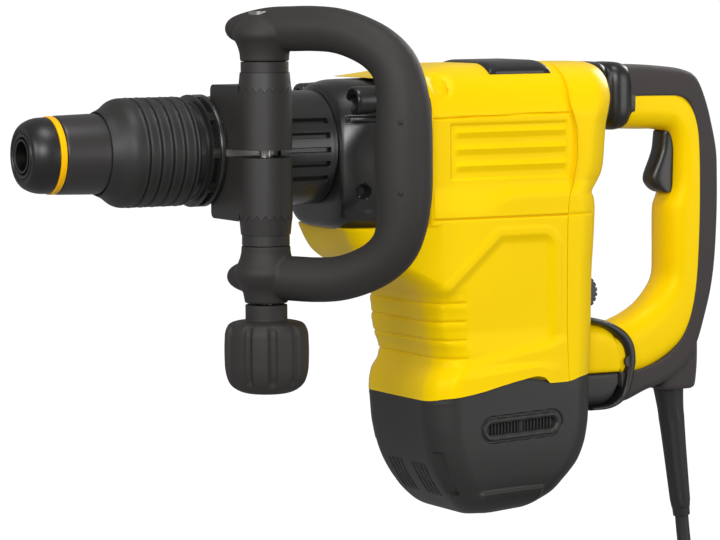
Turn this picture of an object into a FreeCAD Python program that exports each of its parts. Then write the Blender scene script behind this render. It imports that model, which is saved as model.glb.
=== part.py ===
"""Corded demolition hammer with an L-shaped body, as a parametric document of separate sub-parts.

Millimetres, +Z up. The origin is the centre of the tool socket's mouth, and the hammer axis is X: the
nose points to -X and the main handle is at +X. The motor hangs down along -Z. The side post of the bow
handle stands at -Y.
"""
import FreeCAD, Part
import math
import os
import re

import Sketcher

Vector = FreeCAD.Vector
Rotation = FreeCAD.Rotation
Placement = FreeCAD.Placement

document = FreeCAD.newDocument("DemolitionHammer")

# Driving dimensions --------------------------------------------------------------------------------

DIMENSIONS = {
    # nose and chuck, turned about X
    "bore_radius": 9.15,
    "bore_depth": 95,
    "face_radius": 18.4,
    "nose_radius": 23.6,
    "ring_start": 16.6,
    "ring_end": 20.7,
    "ring_radius": 24.3,
    "sleeve_radius": 24.9,
    "collar_start": 50,
    "collar_crown": 61.8,
    "collar_end": 107,
    "collar_radius": 34.6,
    "groove_first": 72.2,
    "groove_pitch": 8,
    "holder_radius": 19,
    # barrel
    "neck_radius": 31,
    "flange_start": 113.7,
    "flange_end": 123,
    "flange_radius": 35.6,
    "barrel_radius": 32,
    "barrel_end": 221.5,
    "cover_start": 159.6,
    "cover_end": 201.5,
    "cover_radius": 36.6,
    "cylinder_bore": 18.5,
    # side post and bow handle
    "post_axis_x": 141,
    "post_axis_y": -53,
    "post_radius": 16.8,
    "clamp_half": 16.8,
    "clamp_height": 42,
    "split_half": 2.4,
    "tooth_plane": 39.5,
    "tooth_depth": 3.6,
    "bow_turn": 55,
    "bow_reach": 95.5,
    "bow_half_height": 76.6,
    "bow_arm_radius": 14.4,
    "bow_grip_radius": 17.5,
    # housing
    "housing_half": 50,
    "lower_half": 52,
    "housing_top": 52,
    "housing_front": 260,
    "seam": 366,
    "housing_rear": 394,
    "cap_top": -157,
    "cap_bottom": -247,
    "dial_axis_x": 383.4,
    "dial_height": -100,
    "dial_radius": 13.5,
    # drive
    "motor_axis_x": 338,
    "crank_axis_x": 298,
    "crank_throw": 16,
    # main handle
    "handle_half": 17.5,
    "grip_front": 464.5,
    "grip_rear": 510,
    "trigger_axis_x": 480,
    "trigger_axis_height": -1.5,
    "pivot_x": 431,
    "pivot_height": -150,
    # supply cord
    "cord_radius": 4.7,
    "cord_exit_x": 485.5,
    "cord_exit_height": -261,
    "rest_height": -342,
    "coil_radius": 56,
    "coil_half_width": 19,
    "coil_height": 28.2,
}

sheet = document.addObject("Spreadsheet::Sheet", "Dims")
for row, (alias, size) in enumerate(DIMENSIONS.items(), start=1):
    sheet.set(f"A{row}", alias)
    sheet.set(f"B{row}", str(size))
    sheet.setAlias(f"B{row}", alias)
document.recompute()

WORD = re.compile(r"[a-z]\w+")
NODES = {}


def number(size):
    """The value of a plain number or of an expression in the sheet's aliases."""
    return float(sheet.evalExpression(size)) if isinstance(size, str) else float(size)


def bound(size):
    """The same expression as another object writes it."""
    return WORD.sub(lambda word: f"Dims.{word.group()}" if word.group() in DIMENSIONS else word.group(), str(size))


def bind(item, field, size):
    item.setExpression(field, bound(size))


def place(item, x=0, y=0, z=0):
    for axis, size in zip("xyz", (x, y, z)):
        bind(item, f"Placement.Base.{axis}", size)
    return item


def keep(label, item):
    """Names a finished sub-part, which is then written to its own file."""
    item.Label = label
    NODES[label] = item
    return item


# Building blocks -----------------------------------------------------------------------------------


def outline(body, role, points):
    """A closed sketch of straight sides on one of the body's own planes, each corner tied to the sheet."""
    sketch = body.newObject("Sketcher::SketchObject", "Outline")
    plane = next(item for item in body.Origin.OriginFeatures if item.Role == role)
    sketch.AttachmentSupport = [(plane, "")]
    sketch.MapMode = "FlatFace"
    corners = [Vector(number(u), number(v), 0) for u, v in points]
    count = len(corners)
    for index in range(count):
        sketch.addGeometry(Part.LineSegment(corners[index], corners[(index + 1) % count]), False)
    for index in range(count):
        sketch.addConstraint(Sketcher.Constraint("Coincident", index, 2, (index + 1) % count, 1))
        for kind, size, at in zip(("DistanceX", "DistanceY"), points[index], corners[index][:2]):
            tie = sketch.addConstraint(Sketcher.Constraint(kind, -1, 1, index, 1, at))
            if isinstance(size, str):
                sketch.setExpression(f"Constraints[{tie}]", bound(size))
    return sketch


def turned(points, axis="H_Axis"):
    """A body turned from its half section: (along, radius) about X, or (radius, height) about Z."""
    body = document.addObject("PartDesign::Body", "Turned")
    sketch = outline(body, "XZ_Plane", points)
    feature = body.newObject("PartDesign::Revolution", "Revolution")
    feature.Profile = sketch
    feature.ReferenceAxis = (sketch, [axis])
    feature.Angle = 360
    return body


def spindle(points, x=0, y=0):
    """A body turned about a vertical axis through x, y, from (radius, height) points."""
    return place(turned(points, "V_Axis"), x, y)


def slab(points, half, role="XZ_Plane", middle=0, rounding=None):
    """An outline padded to both sides of its plane: (x, z), (x, y) or (y, z) points by the plane's role."""
    body = document.addObject("PartDesign::Body", "Slab")
    sketch = outline(body, role, points)
    pad = body.newObject("PartDesign::Pad", "Pad")
    pad.Profile = sketch
    pad.SideType = "Symmetric"
    bind(pad, "Length", f"2 * ({half})")
    normal = {"XZ_Plane": "y", "XY_Plane": "z", "YZ_Plane": "x"}[role]
    bind(body, f"Placement.Base.{normal}", middle)
    if rounding:
        document.recompute()
        round_corners(body, pad, normal, *rounding)
    return body


def round_corners(body, feature, normal, radius, wanted=None):
    """Fillets the edges that run along the pad's own direction, all of them or those near the points."""
    direction = {"x": Vector(1, 0, 0), "y": Vector(0, 1, 0), "z": Vector(0, 0, 1)}[normal]
    others = [index for index, axis in enumerate("xyz") if axis != normal]
    names = []
    for index, edge in enumerate(feature.Shape.Edges, start=1):
        start, end = edge.Vertexes[0].Point, edge.Vertexes[-1].Point
        span = end - start
        if span.Length < 1e-6 or abs(abs(span.normalize() * direction) - 1) > 1e-6:
            continue
        at = [start[axis] for axis in others]
        if wanted is None or any(math.dist(at, [number(u), number(v)]) < 0.5 for u, v in wanted):
            names.append(f"Edge{index}")
    fillet = body.newObject("PartDesign::Fillet", "Fillet")
    fillet.Base = (feature, names)
    bind(fillet, "Radius", radius)


def rounded_frame(low, high, bottom, top):
    """The four corners of a rectangle."""
    return [(low, bottom), (high, bottom), (high, top), (low, top)]


def box(low, high):
    """A Part::Box between two corners."""
    item = document.addObject("Part::Box", "Box")
    for field, start, end in zip(("Length", "Width", "Height"), low, high):
        bind(item, field, f"({end}) - ({start})")
    return place(item, *low)


def turned_box(turn, corner, size):
    """A Part::Box at a corner, then turned about the hammer axis."""
    item = document.addObject("Part::Box", "Box")
    for field, length in zip(("Length", "Width", "Height"), size):
        bind(item, field, length)
    item.Placement = Placement(Vector(), turn) * Placement(Vector(*corner), Rotation())
    return item


def coil(spot, turn_axis, radius, wire):
    """One closed turn of a spring as a Part::Torus."""
    ring = document.addObject("Part::Torus", "Coil")
    ring.Radius1 = radius
    ring.Radius2 = wire
    ring.Placement = Placement(spot, turn_axis)
    return ring


ALONG_X = Rotation(Vector(0, 1, 0), 90)


def rod(radius, start, length, axis="z"):
    """A Part::Cylinder from a point along +X, +Y or +Z."""
    item = document.addObject("Part::Cylinder", "Rod")
    bind(item, "Radius", radius)
    bind(item, "Height", length)
    turns = {"x": Rotation(Vector(0, 1, 0), 90), "y": Rotation(Vector(1, 0, 0), -90), "z": Rotation()}
    item.Placement = Placement(Vector(), turns[axis])
    return place(item, *start)


def fuse(*items):
    joined = document.addObject("Part::MultiFuse", "Fuse")
    joined.Shapes = list(items)
    return joined


def common(*items):
    shared = document.addObject("Part::MultiCommon", "Common")
    shared.Shapes = list(items)
    return shared


def cut(base, *tools):
    result = document.addObject("Part::Cut", "Cut")
    result.Base = base
    result.Tool = tools[0] if len(tools) == 1 else fuse(*tools)
    return result


def feature(shape):
    """A sub-part whose shape is computed below from the sheet's sizes."""
    item = document.addObject("Part::Feature", "Computed")
    item.Shape = shape
    return item


# Nose, chuck and collar ----------------------------------------------------------------------------


def nose_cap():
    """Rubber dust cap round the socket's mouth."""
    return turned(
        [
            (0, 11.7),
            (0, "face_radius"),
            (2.6, "face_radius + 2.4"),
            (5.8, "nose_radius - 0.9"),
            (9.6, "nose_radius"),
            ("ring_start - 0.2", "nose_radius"),
            ("ring_start - 0.2", 15.2),
            (4, 15.2),
            (4, 11.7),
        ]
    )


def tool_holder():
    """Steel spindle front: the socket for the chisel's shank, and the bore of the beat piece behind it."""
    body = turned(
        [
            (0, "bore_radius"),
            (0, 10.7),
            (4.2, 10.7),
            (4.2, 15),
            (52, 15),
            (52, 16.5),
            (78, 16.5),
            (78, "holder_radius"),
            (107.4, "holder_radius"),
            (107.4, 26),
            (113, 26),
            (113, 22),
            (150, 22),
            (150, 11.55),
            ("bore_depth + 1", 11.55),
            ("bore_depth", "bore_radius"),
        ]
    )
    slots = [box((44, -2.7, low), (60, 2.7, high)) for low, high in ((8.6, 18), (-18, -8.6))]
    return cut(body, *slots)


def locking_rollers():
    """The two rollers that hold the shank, lying in the holder's slots."""
    return fuse(*[rod(2.6, (45, 0, side * 12.4), 14, "x") for side in (-1, 1)])


def locking_sleeve():
    """Smooth sleeve that is drawn back into the ribbed collar to free the shank."""
    return turned(
        [
            ("ring_start", 17.2),
            ("ring_start", "ring_radius - 1.9"),
            ("ring_end + 0.1", "ring_radius - 1.9"),
            ("ring_end + 0.1", "sleeve_radius - 0.5"),
            ("ring_end + 1.2", "sleeve_radius - 0.3"),
            (62, "sleeve_radius + 0.2"),
            (62, 17.2),
        ]
    )


def sleeve_ring():
    return turned(rounded_frame("ring_start", "ring_end", "ring_radius - 1.9", "ring_radius"))


def index_collar():
    """Ribbed rubber collar with a conical front. Five V grooves run round it."""
    top = "collar_radius"
    section = [
        ("collar_start", "sleeve_radius + 0.7"),
        ("collar_start", "sleeve_radius + 1.3"),
        ("collar_crown", f"{top} - 1"),
        ("collar_crown + 2", top),
    ]
    for index in range(5):
        middle = f"groove_first + {index} * groove_pitch"
        section += [(f"{middle} - 1.7", top), (middle, f"{top} - 1.9"), (f"{middle} + 1.1", top)]
    section[-1] = ("collar_end - 1.6", f"{top} - 0.5")
    section += [
        ("collar_end", f"{top} - 2.6"),
        ("collar_end", "holder_radius + 0.2"),
        (80, "holder_radius + 0.2"),
        (80, "sleeve_radius + 0.7"),
    ]
    return turned(section)


def release_spring():
    """Wire coils between the sleeve and the collar's inner step."""
    return fuse(*[coil(Vector(64 + 3.4 * index, 0, 0), ALONG_X, 21.4, 1.1) for index in range(5)])


# Barrel --------------------------------------------------------------------------------------------


def barrel():
    """Cast barrel: it carries the neck ring, the side handle's seat and the slotted cover."""
    return turned(
        [
            (107.6, 27.2),
            (107.6, 28.4),
            ("flange_start", 28.4),
            ("flange_start", 33),
            ("flange_end", 33),
            ("flange_end", "barrel_radius"),
            ("cover_start - 0.4", "barrel_radius"),
            ("cover_start - 0.4", 33.4),
            ("barrel_end", 33.4),
            ("barrel_end", 23.1),
            (114, 23.1),
            (114, 27.2),
        ]
    )


def neck_ring():
    """Plastic neck with a wider ring behind it, through whose windows the bright barrel shows."""
    neck = turned(rounded_frame(107.6, "flange_start", 28.4, "neck_radius"))
    step = turned(rounded_frame("flange_start - 1", "flange_start", "neck_radius - 1", "flange_radius"))
    ring = turned(rounded_frame("flange_start", "flange_end", 33, "flange_radius"))
    windows = []
    for index in range(9):
        turn = Rotation(Vector(1, 0, 0), 20 + 40 * index)
        windows.append(turned_box(turn, (number("flange_start") + 1.2, -8.5, 30), (4.6, 17, 8)))
    return cut(fuse(neck, step, ring), *windows)


def slotted_cover():
    """Plastic cover over the rear of the barrel, with rows of cooling slots at both sides."""
    shell = turned(rounded_frame("cover_start", "cover_end", 33.5, "cover_radius"))
    slots = []
    for side in (-1, 1):
        for index in range(5):
            turn = Rotation(Vector(1, 0, 0), side * (90 + 16 * (index - 2)))
            slots.append(turned_box(turn, (162, -1.6, 30), (31, 3.2, 12)))
    return cut(shell, *slots)


def cylinder():
    return turned(rounded_frame(152, 271, "cylinder_bore", 23))


def beat_piece():
    """Striker that passes the blow from the ram to the chisel."""
    return turned([(100, 0), (100, 8.4), (108, 8.8), (112, 11.5), (148, 11.5), (148, 0)])


def ram():
    return turned([(156, 0), (156, 17), (158, "cylinder_bore - 0.06"), (192, "cylinder_bore - 0.06"), (192, 0)])


# Crank drive ---------------------------------------------------------------------------------------


def piston():
    """Hollow piston, open at the rear for the rod."""
    bore = "cylinder_bore - 0.06"
    body = turned([(211, 0), (211, bore), (238, bore), (238, 12.5), (217, 12.5), (217, 0)])
    return cut(body, rod(4.05, (228, 0, -19), 38))


def wrist_pin():
    return rod(4, (228, 0, -17.6), 35.2)


def connecting_rod():
    """Rod with an eye at each end: the small one on the wrist pin, the big one over the crank."""
    crank = "crank_axis_x - crank_throw"
    shank = box((228, -4, -6), (crank, 4, 6))
    small = rod(8, (228, 0, -6), 12)
    big = rod(10, (crank, 0, -6.5), 13)
    return cut(fuse(shank, small, big), rod(4.05, (228, 0, -8), 16), rod(5.2, (crank, 0, -8), 16))


def crank():
    """Crank disc with its pin stub, on a shaft that carries the large gear."""
    disc = rod(25, ("crank_axis_x", 0, -22.4), 8.2)
    pin = rod(5, ("crank_axis_x - crank_throw", 0, -14.4), 6.4)
    shaft = rod(9, ("crank_axis_x", 0, -60), 38)
    return fuse(disc, pin, shaft)


def crank_gear():
    return cut(rod(32.9, ("crank_axis_x", 0, -46), 10), rod(9, ("crank_axis_x", 0, -47), 12))


def ring_bearing(inner, outer, x, z, width):
    """Rolling bearing as one ring, bored to clear the shaft."""
    return cut(rod(outer, (x, 0, z), width), rod(inner, (x, 0, f"{z} - 1"), f"{width} + 2"))


def gear_case():
    """Aluminium case round the crank, open to the cylinder in front and to the motor below."""
    outer = box((221.8, -37, -66), (354, 37, 34))
    hollow = box((226, -33.2, -61), (350, 33.2, 35))
    seat = rod(24, ("crank_axis_x", 0, -61), 11)
    inner_seat = cut(seat, rod(20.05, ("crank_axis_x", 0, -62), 13))
    upper = box((273, -33.2, -34), (323, 33.2, -24))
    bridge = cut(upper, rod(15.05, ("crank_axis_x", 0, -35), 12))
    motor_seat = rod(14.05, ("motor_axis_x", 0, -67), 8)
    shell = cut(outer, hollow, rod(23.1, (220, 0, 0), 8, "x"), motor_seat)
    return fuse(shell, inner_seat, bridge)


def absorber_base():
    """Cover of the gear case, which carries two guide rods in end blocks."""
    cover = box((221.8, -37, 34.1), (354, 37, 37.2))
    rods = [rod(2.5, (262, side * 14, 41.2), 98, "x") for side in (-1, 1)]
    ends = [box((x, -19, 37.1), (x + 5, 19, 44.2)) for x in (262, 355)]
    return fuse(cover, *rods, *ends)


def absorber_weight():
    block = box((297, -21, 37.6), (329, 21, 44.8))
    return cut(block, *[rod(2.58, (296, side * 14, 41.2), 34, "x") for side in (-1, 1)])


def absorber_springs():
    """Coils on the rods at both ends of the weight."""
    coils = []
    for side in (-1, 1):
        for start in (271, 333):
            for index in range(5):
                coils.append(coil(Vector(start + 4.4 * index, side * 14, 41.2), ALONG_X, 3.5, 0.6))
    return fuse(*coils)


# Motor ---------------------------------------------------------------------------------------------


def armature_shaft():
    """Motor shaft with the pinion at its upper end."""
    return spindle(
        [(0, -212), (5, -212), (5, -52), (6.9, -50), (6.9, -35), (0, -35)],
        "motor_axis_x",
    )


def armature_core():
    """Laminated core with its winding heads."""
    return spindle(
        [(5, -173), (17, -173), (21, -165), (25, -165), (25, -103), (21, -103), (17, -96), (5, -96)],
        "motor_axis_x",
    )


def commutator():
    return spindle([(5, -197), (16, -197), (16, -179), (5, -179)], "motor_axis_x")


def cooling_fan():
    """Hub and plate with radial blades."""
    hub = spindle([(5, -93), (12, -93), (12, -82), (38, -82), (38, -80), (5, -80)], "motor_axis_x")
    blades = []
    for index in range(12):
        blade = document.addObject("Part::Box", "Blade")
        bind(blade, "Length", 25)
        bind(blade, "Width", 1.6)
        bind(blade, "Height", 9)
        turn = Placement(Vector(number("motor_axis_x"), 0, 0), Rotation(Vector(0, 0, 1), 30 * index))
        blade.Placement = turn * Placement(Vector(11.5, -0.8, -90.5), Rotation())
        blades.append(blade)
    return fuse(hub, *blades)


def stator():
    """Field core with two flat sides and its winding heads."""
    flats = box(("motor_axis_x - 46", -41, -168), ("motor_axis_x + 46", 41, -100))
    heads = rod(36, ("motor_axis_x", 0, -174), 80)
    core = fuse(common(rod(44, ("motor_axis_x", 0, -168), 68), flats), heads)
    return cut(core, rod(25.6, ("motor_axis_x", 0, -176), 86))


def post(along, side):
    """One of the four posts that hang the brush frame from the stator."""
    middle = f"motor_axis_x + {28 * along}"
    return box((f"{middle} - 3", side * 32 - 3, -199.5), (f"{middle} + 3", side * 32 + 3, -168.1))


def brush_frame():
    """Bracket under the stator: it carries the lower bearing and a brush guide at each side."""
    guides = []
    for side in (-1, 1):
        low, high = sorted((side * 17.5, side * 38))
        outer = box(("motor_axis_x - 7", low, -194), ("motor_axis_x + 7", high, -182))
        slot = box(("motor_axis_x - 4.1", f"{low} - 1", -191.1), ("motor_axis_x + 4.1", f"{high} + 1", -184.9))
        guides.append(cut(outer, slot))
    plate = cut(rod(44, ("motor_axis_x", 0, -204), 5), rod(11.05, ("motor_axis_x", 0, -206), 9))
    posts = [post(along, side) for side in (-1, 1) for along in (-1, 1)]
    rests = [
        box(("motor_axis_x - 7", side * 30 - 5, -199.2), ("motor_axis_x + 7", side * 30 + 5, -193))
        for side in (-1, 1)
    ]
    return fuse(plate, *posts, *rests, *guides)


def carbon_brushes():
    """Each brush lies in its guide and stops just short of the commutator."""
    blocks = []
    for side in (-1, 1):
        low, high = sorted((side * 16.1, side * 30))
        blocks.append(box(("motor_axis_x - 4", low, -191), ("motor_axis_x + 4", high, -185)))
    return fuse(*blocks)


# Housing -------------------------------------------------------------------------------------------


def case_room():
    """The space that the gear case fills between the nose shell and the main housing."""
    return box((221, -37.3, -66.3), (268, 37.3, 41))


def nose_shell():
    """Black casing between the slotted cover and the main housing, widening to the rear."""
    side = [("cover_end + 0.1", -52), (262, -53), (262, 21), (228, 43), (207, 43), ("cover_end + 0.1", 39)]
    across = [(-49.6, -53), (49.6, -53), (49.6, 43), (-49.6, 43)]
    plan = [("cover_end + 0.1", -38.5), (216, -42), (262, -49.6), (262, 49.6), (216, 42), ("cover_end + 0.1", 38.5)]
    outer = common(
        slab(side, 60),
        slab(across, 300, "YZ_Plane", rounding=(18,)),
        slab(plan, 100, "XY_Plane"),
    )
    inner = common(
        slab([("cover_end + 3", -49), (264, -50), (264, 30), (230, 40), (208, 40), ("cover_end + 3", 36)], 60),
        slab([(-46.6, -50), (46.6, -50), (46.6, 40), (-46.6, 40)], 300, "YZ_Plane", rounding=(15,)),
        slab([("cover_end + 3", -36.4), (216, -39), (264, -46.6), (264, 46.6), (216, 39), ("cover_end + 3", 36.4)], 100, "XY_Plane"),
    )
    opening = rod(33.5, (198, 0, 0), 8, "x")
    return cut(outer, inner, opening, case_room())


UPPER_SIDE = [
    ("housing_front + 2", 21.4),
    ("housing_front + 2", -53.4),
    (203, -53.4),
    (214, -64),
    ("housing_front", -99),
    ("housing_front", -136),
    ("housing_front - 2", -144),
    ("housing_front + 1", "cap_top"),
    ("seam", "cap_top"),
    ("seam", "housing_top - 0.5"),
    (306, "housing_top"),
    (284, 50),
    (229, 44.6),
]

REAR_SIDE = [
    ("seam + 0.3", "cap_top"),
    ("housing_rear - 2", "cap_top"),
    ("housing_rear", -122),
    ("housing_rear + 0.5", -85),
    ("housing_rear + 2", -65),
    ("housing_rear + 4.5", -42),
    ("housing_rear + 2", -33),
    ("housing_rear + 8", -20),
    ("housing_rear + 11", 0),
    ("housing_rear + 14", 36),
    ("housing_rear + 12", 46),
    ("housing_rear + 4", 50.6),
    ("seam + 0.3", "housing_top - 0.5"),
]

CAP_SIDE = [
    ("housing_front + 1.4", "cap_top - 0.3"),
    (262, -186),
    (268, -204),
    (281, -222),
    (300, -236),
    (318, "cap_bottom + 1"),
    (350, "cap_bottom"),
    (367, -240),
    (381, -222),
    ("housing_rear - 5", -200),
    ("housing_rear - 2.2", "cap_top - 0.3"),
]


def main_housing():
    """Yellow body shell from the nose shell to the rear seam."""
    outer = common(
        slab(UPPER_SIDE, 60),
        slab(rounded_frame("-lower_half", "lower_half", -200, "housing_top"), 600, "YZ_Plane",
             rounding=(20, [("-lower_half", "housing_top"), ("lower_half", "housing_top")])),
        slab([(203, -38), ("housing_front + 2", "-lower_half"), (420, "-lower_half"), (420, "lower_half"),
              ("housing_front + 2", "lower_half"), (203, 38)], 300, "XY_Plane"),
    )
    inner = common(
        slab(
            [
                ("housing_front + 5", 24), ("housing_front + 5", -56.4), (214, -56.4), (218, -63),
                ("housing_front + 3", -97), ("housing_front + 3", -136), ("housing_front + 3", -160),
                ("seam + 2", -160), ("seam + 2", "housing_top - 3.5"), (306, "housing_top - 3"), (284, 47),
                (240, 42.5),
            ],
            60,
        ),
        slab(rounded_frame("-lower_half + 3", "lower_half - 3", -200, "housing_top - 3"), 600, "YZ_Plane",
             rounding=(17, [("-lower_half + 3", "housing_top - 3"), ("lower_half - 3", "housing_top - 3")])),
        slab([(206, -35.5), ("housing_front + 2", "-lower_half + 3"), (420, "-lower_half + 3"),
              (420, "lower_half - 3"), ("housing_front + 2", "lower_half - 3"), (206, 35.5)], 300, "XY_Plane"),
    )
    passage = box((232, -46, -53), (270, 46, 38))
    return cut(outer, inner, passage, case_room())


def rear_shell():
    """Yellow rear shell behind the seam: it takes the bellows above and the handle's stub below."""
    outer = common(
        slab(REAR_SIDE, 60),
        slab(rounded_frame("-lower_half", "lower_half", -200, "housing_top"), 600, "YZ_Plane",
             rounding=(20, [("-lower_half", "housing_top"), ("lower_half", "housing_top")])),
        slab([("seam", "-lower_half"), ("housing_rear - 14", "-lower_half"), ("housing_rear + 14", "-24"),
              ("housing_rear + 14", 24), ("housing_rear - 14", "lower_half"), ("seam", "lower_half")], 300, "XY_Plane"),
    )
    inner = common(
        slab(
            [
                ("seam - 2", -160), ("housing_rear - 5", -160), ("housing_rear - 3", -122),
                ("housing_rear - 1", -33), ("housing_rear + 5", -20), ("housing_rear + 8", 0),
                ("housing_rear + 11", 36), ("housing_rear + 4", 47), ("seam - 2", "housing_top - 3.5"),
            ],
            60,
        ),
        slab(rounded_frame("-lower_half + 3", "lower_half - 3", -200, "housing_top - 3"), 600, "YZ_Plane",
             rounding=(17, [("-lower_half + 3", "housing_top - 3"), ("lower_half - 3", "housing_top - 3")])),
        slab([("seam - 2", "-lower_half + 3"), ("housing_rear - 15.4", "-lower_half + 3"), ("housing_rear + 11", -22.6),
              ("housing_rear + 11", 22.6), ("housing_rear - 15.4", "lower_half - 3"), ("seam - 2", "lower_half - 3")],
             300, "XY_Plane"),
    )
    dial_slot = box(("housing_rear - 20", -36.5, -113), ("housing_rear + 8", -30.5, -87))
    axle = rod(2, ("dial_axis_x", -48.9, "dial_height"), 22, "y")
    return fuse(cut(outer, inner, dial_slot), axle)


def motor_cap():
    """Black cap round the lower end of the motor, with an air inlet at each side and front louvres."""
    plan = rounded_frame("housing_front", "housing_rear - 2", "-lower_half", "lower_half")
    outer = common(
        slab(CAP_SIDE, 60),
        slab(rounded_frame("-lower_half", "lower_half", "cap_bottom", 0), 600, "YZ_Plane",
             rounding=(22, [("-lower_half", "cap_bottom"), ("lower_half", "cap_bottom")])),
        slab(plan, 300, "XY_Plane", rounding=(24,)),
    )
    inner = common(
        slab(
            [
                ("housing_front + 4.4", "cap_top + 2"), (265, -185), (271, -202), (284, -220), (302, -233),
                (319, "cap_bottom + 4"), (349, "cap_bottom + 3"), (365, -237), (378, -220),
                ("housing_rear - 8", -199), ("housing_rear - 5.2", "cap_top + 2"),
            ],
            60,
        ),
        slab(rounded_frame("-lower_half + 3", "lower_half - 3", "cap_bottom + 3", 0), 600, "YZ_Plane",
             rounding=(19, [("-lower_half + 3", "cap_bottom + 3"), ("lower_half - 3", "cap_bottom + 3")])),
        slab(rounded_frame("housing_front + 3", "housing_rear - 5", "-lower_half + 3", "lower_half - 3"), 300,
             "XY_Plane", rounding=(21,)),
    )
    inlets = [box((296, low, -190), (354, high, -178)) for low, high in ((-60, -45), (45, 60))]
    louvres = [
        box((255, side * 32 - 9, -204 - 6.5 * index), (290, side * 32 + 9, -201.6 - 6.5 * index))
        for side in (-1, 1)
        for index in range(3)
    ]
    return cut(outer, inner, *inlets, *louvres)


def inlet_grilles():
    """Slatted inserts that close the two air inlets, bars upright."""
    frames = []
    for side in (-1, 1):
        low, high = sorted((side * 49.1, side * 51))
        plate = box((296.2, low, -189.8), (353.8, high, -178.2))
        gaps = [box((300 + 5 * index, low - 1, -187), (302.4 + 5 * index, high + 1, -181)) for index in range(10)]
        frames.append(cut(plate, *gaps))
    return fuse(*frames)


def top_cover():
    """Black plate over the crank's service opening, laid on the crown of the housing."""
    return slab([(294, "housing_top"), (358, "housing_top"), (355, "housing_top + 2.4"), (300, "housing_top + 2.4")], 29)


def housing_screws():
    """Pan-head screws: two through the nose shell's bosses and two in the motor cap's channels at each side."""
    screws = []
    for side in (-1, 1):
        for x, z, head in ((240, 8, 46.8), (240, -30, 46.8)):
            head_start = side * head if side > 0 else side * head - 3
            screws.append(rod(4.2, (x, head_start, z), 3, "y"))
            shank_start = side * head - 6 if side > 0 else side * head
            screws.append(rod(2.1, (x, shank_start, z), 6, "y"))
    return fuse(*screws)


def control_module():
    """Speed electronics on its plate in the rear shell."""
    return box((370, -30, -70), (388, 30, -24))


def speed_dial():
    """Knurled thumb wheel, its rim standing out of the rear shell."""
    wheel = rod("dial_radius", ("dial_axis_x", -36, "dial_height"), 5, "y")
    centre = Vector(number("dial_axis_x"), 0, number("dial_height"))
    notches = []
    for index in range(20):
        turn = Placement(centre, Rotation(Vector(0, 1, 0), 18 * index))
        notch = document.addObject("Part::Cylinder", "Notch")
        bind(notch, "Radius", 0.9)
        bind(notch, "Height", 9)
        notch.Placement = turn * Placement(Vector(number("dial_radius") + 0.2, -29, 0), Rotation(Vector(1, 0, 0), 90))
        notches.append(notch)
    return cut(wheel, rod(2.06, ("dial_axis_x", -38, "dial_height"), 10, "y"), *notches)



# Side handle ---------------------------------------------------------------------------------------


def teeth(height, upward, radius, gap=0.0):
    """A crown of radial V teeth standing on a plane: twenty ridges that narrow to the axis."""
    count = 20
    depth = number("tooth_depth")
    step = math.pi / count
    ridges = []
    for index in range(count):
        angle = 2 * math.pi * index / count
        outer = radius + 2
        ends = [
            Vector(outer * math.cos(angle + turn), outer * math.sin(angle + turn), height) for turn in (-step, step)
        ]
        crest = Vector(outer * math.cos(angle), outer * math.sin(angle), height + upward * (depth - gap))
        centre = Vector(0, 0, height)
        faces = [
            Part.Face(Part.makePolygon([ends[0], ends[1], crest, ends[0]])),
            Part.Face(Part.makePolygon([ends[0], crest, centre, ends[0]])),
            Part.Face(Part.makePolygon([ends[1], centre, crest, ends[1]])),
            Part.Face(Part.makePolygon([ends[0], centre, ends[1], ends[0]])),
        ]
        ridges.append(Part.Solid(Part.Shell(faces)))
    return ridges


def clamp_block(sign):
    """Half of the side clamp: the post's half and a lug that reaches over the barrel, toothed at its end."""
    x, y = number("post_axis_x"), number("post_axis_y")
    radius, half = number("post_radius"), number("clamp_half")
    split, plane = number("split_half"), number("tooth_plane") - number("tooth_depth") / 2
    lug_top = number("clamp_height")
    post = Part.makeCylinder(radius, plane - split, Vector(x, y, split))
    ridges = [ridge.translated(Vector(x, y, 0)) for ridge in teeth(plane, 1, radius)]
    crown = post.fuse(ridges).common(Part.makeCylinder(radius, 60, Vector(x, y, split)))
    lug = Part.makeBox(2 * half, 43, lug_top - split, Vector(x - half, y, split))
    lug = lug.makeFillet(4, [edge for edge in lug.Edges if edge.BoundBox.ZMin > lug_top - 0.1 and edge.BoundBox.YMin > y + 42])
    block = crown.fuse(lug.cut(Part.makeCylinder(radius + 0.3, 80, Vector(x, y, plane - 0.01))))
    block = block.cut(Part.makeCylinder(number("barrel_radius") + 0.02, 60, Vector(x - 30, 0, 0), Vector(1, 0, 0)))
    block = block.cut(Part.makeCylinder(4.08, 80, Vector(x, y, 0))).removeSplitter()
    if sign < 0:
        block = block.mirror(Vector(), Vector(0, 0, 1))
    return block


def clamp_band():
    """Steel band from the upper block round the far side of the barrel to the lower block."""
    x, inner = number("post_axis_x"), number("barrel_radius") + 0.02
    ring = Part.makeCylinder(inner + 2.2, 22, Vector(x - 11, 0, 0), Vector(1, 0, 0))
    ring = ring.cut(Part.makeCylinder(inner, 24, Vector(x - 12, 0, 0), Vector(1, 0, 0)))
    near = number("post_axis_y") + 43.2
    ring = ring.cut(Part.makeBox(40, 80, 90, Vector(x - 20, near - 80, -45)))
    return feature(ring)


def clamp_bolt():
    """Long bolt through the post, from the upper hub down into the knob."""
    return fuse(rod(4, ("post_axis_x", "post_axis_y", -120), 205), rod(10, ("post_axis_x", "post_axis_y", 84), 4))


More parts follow.
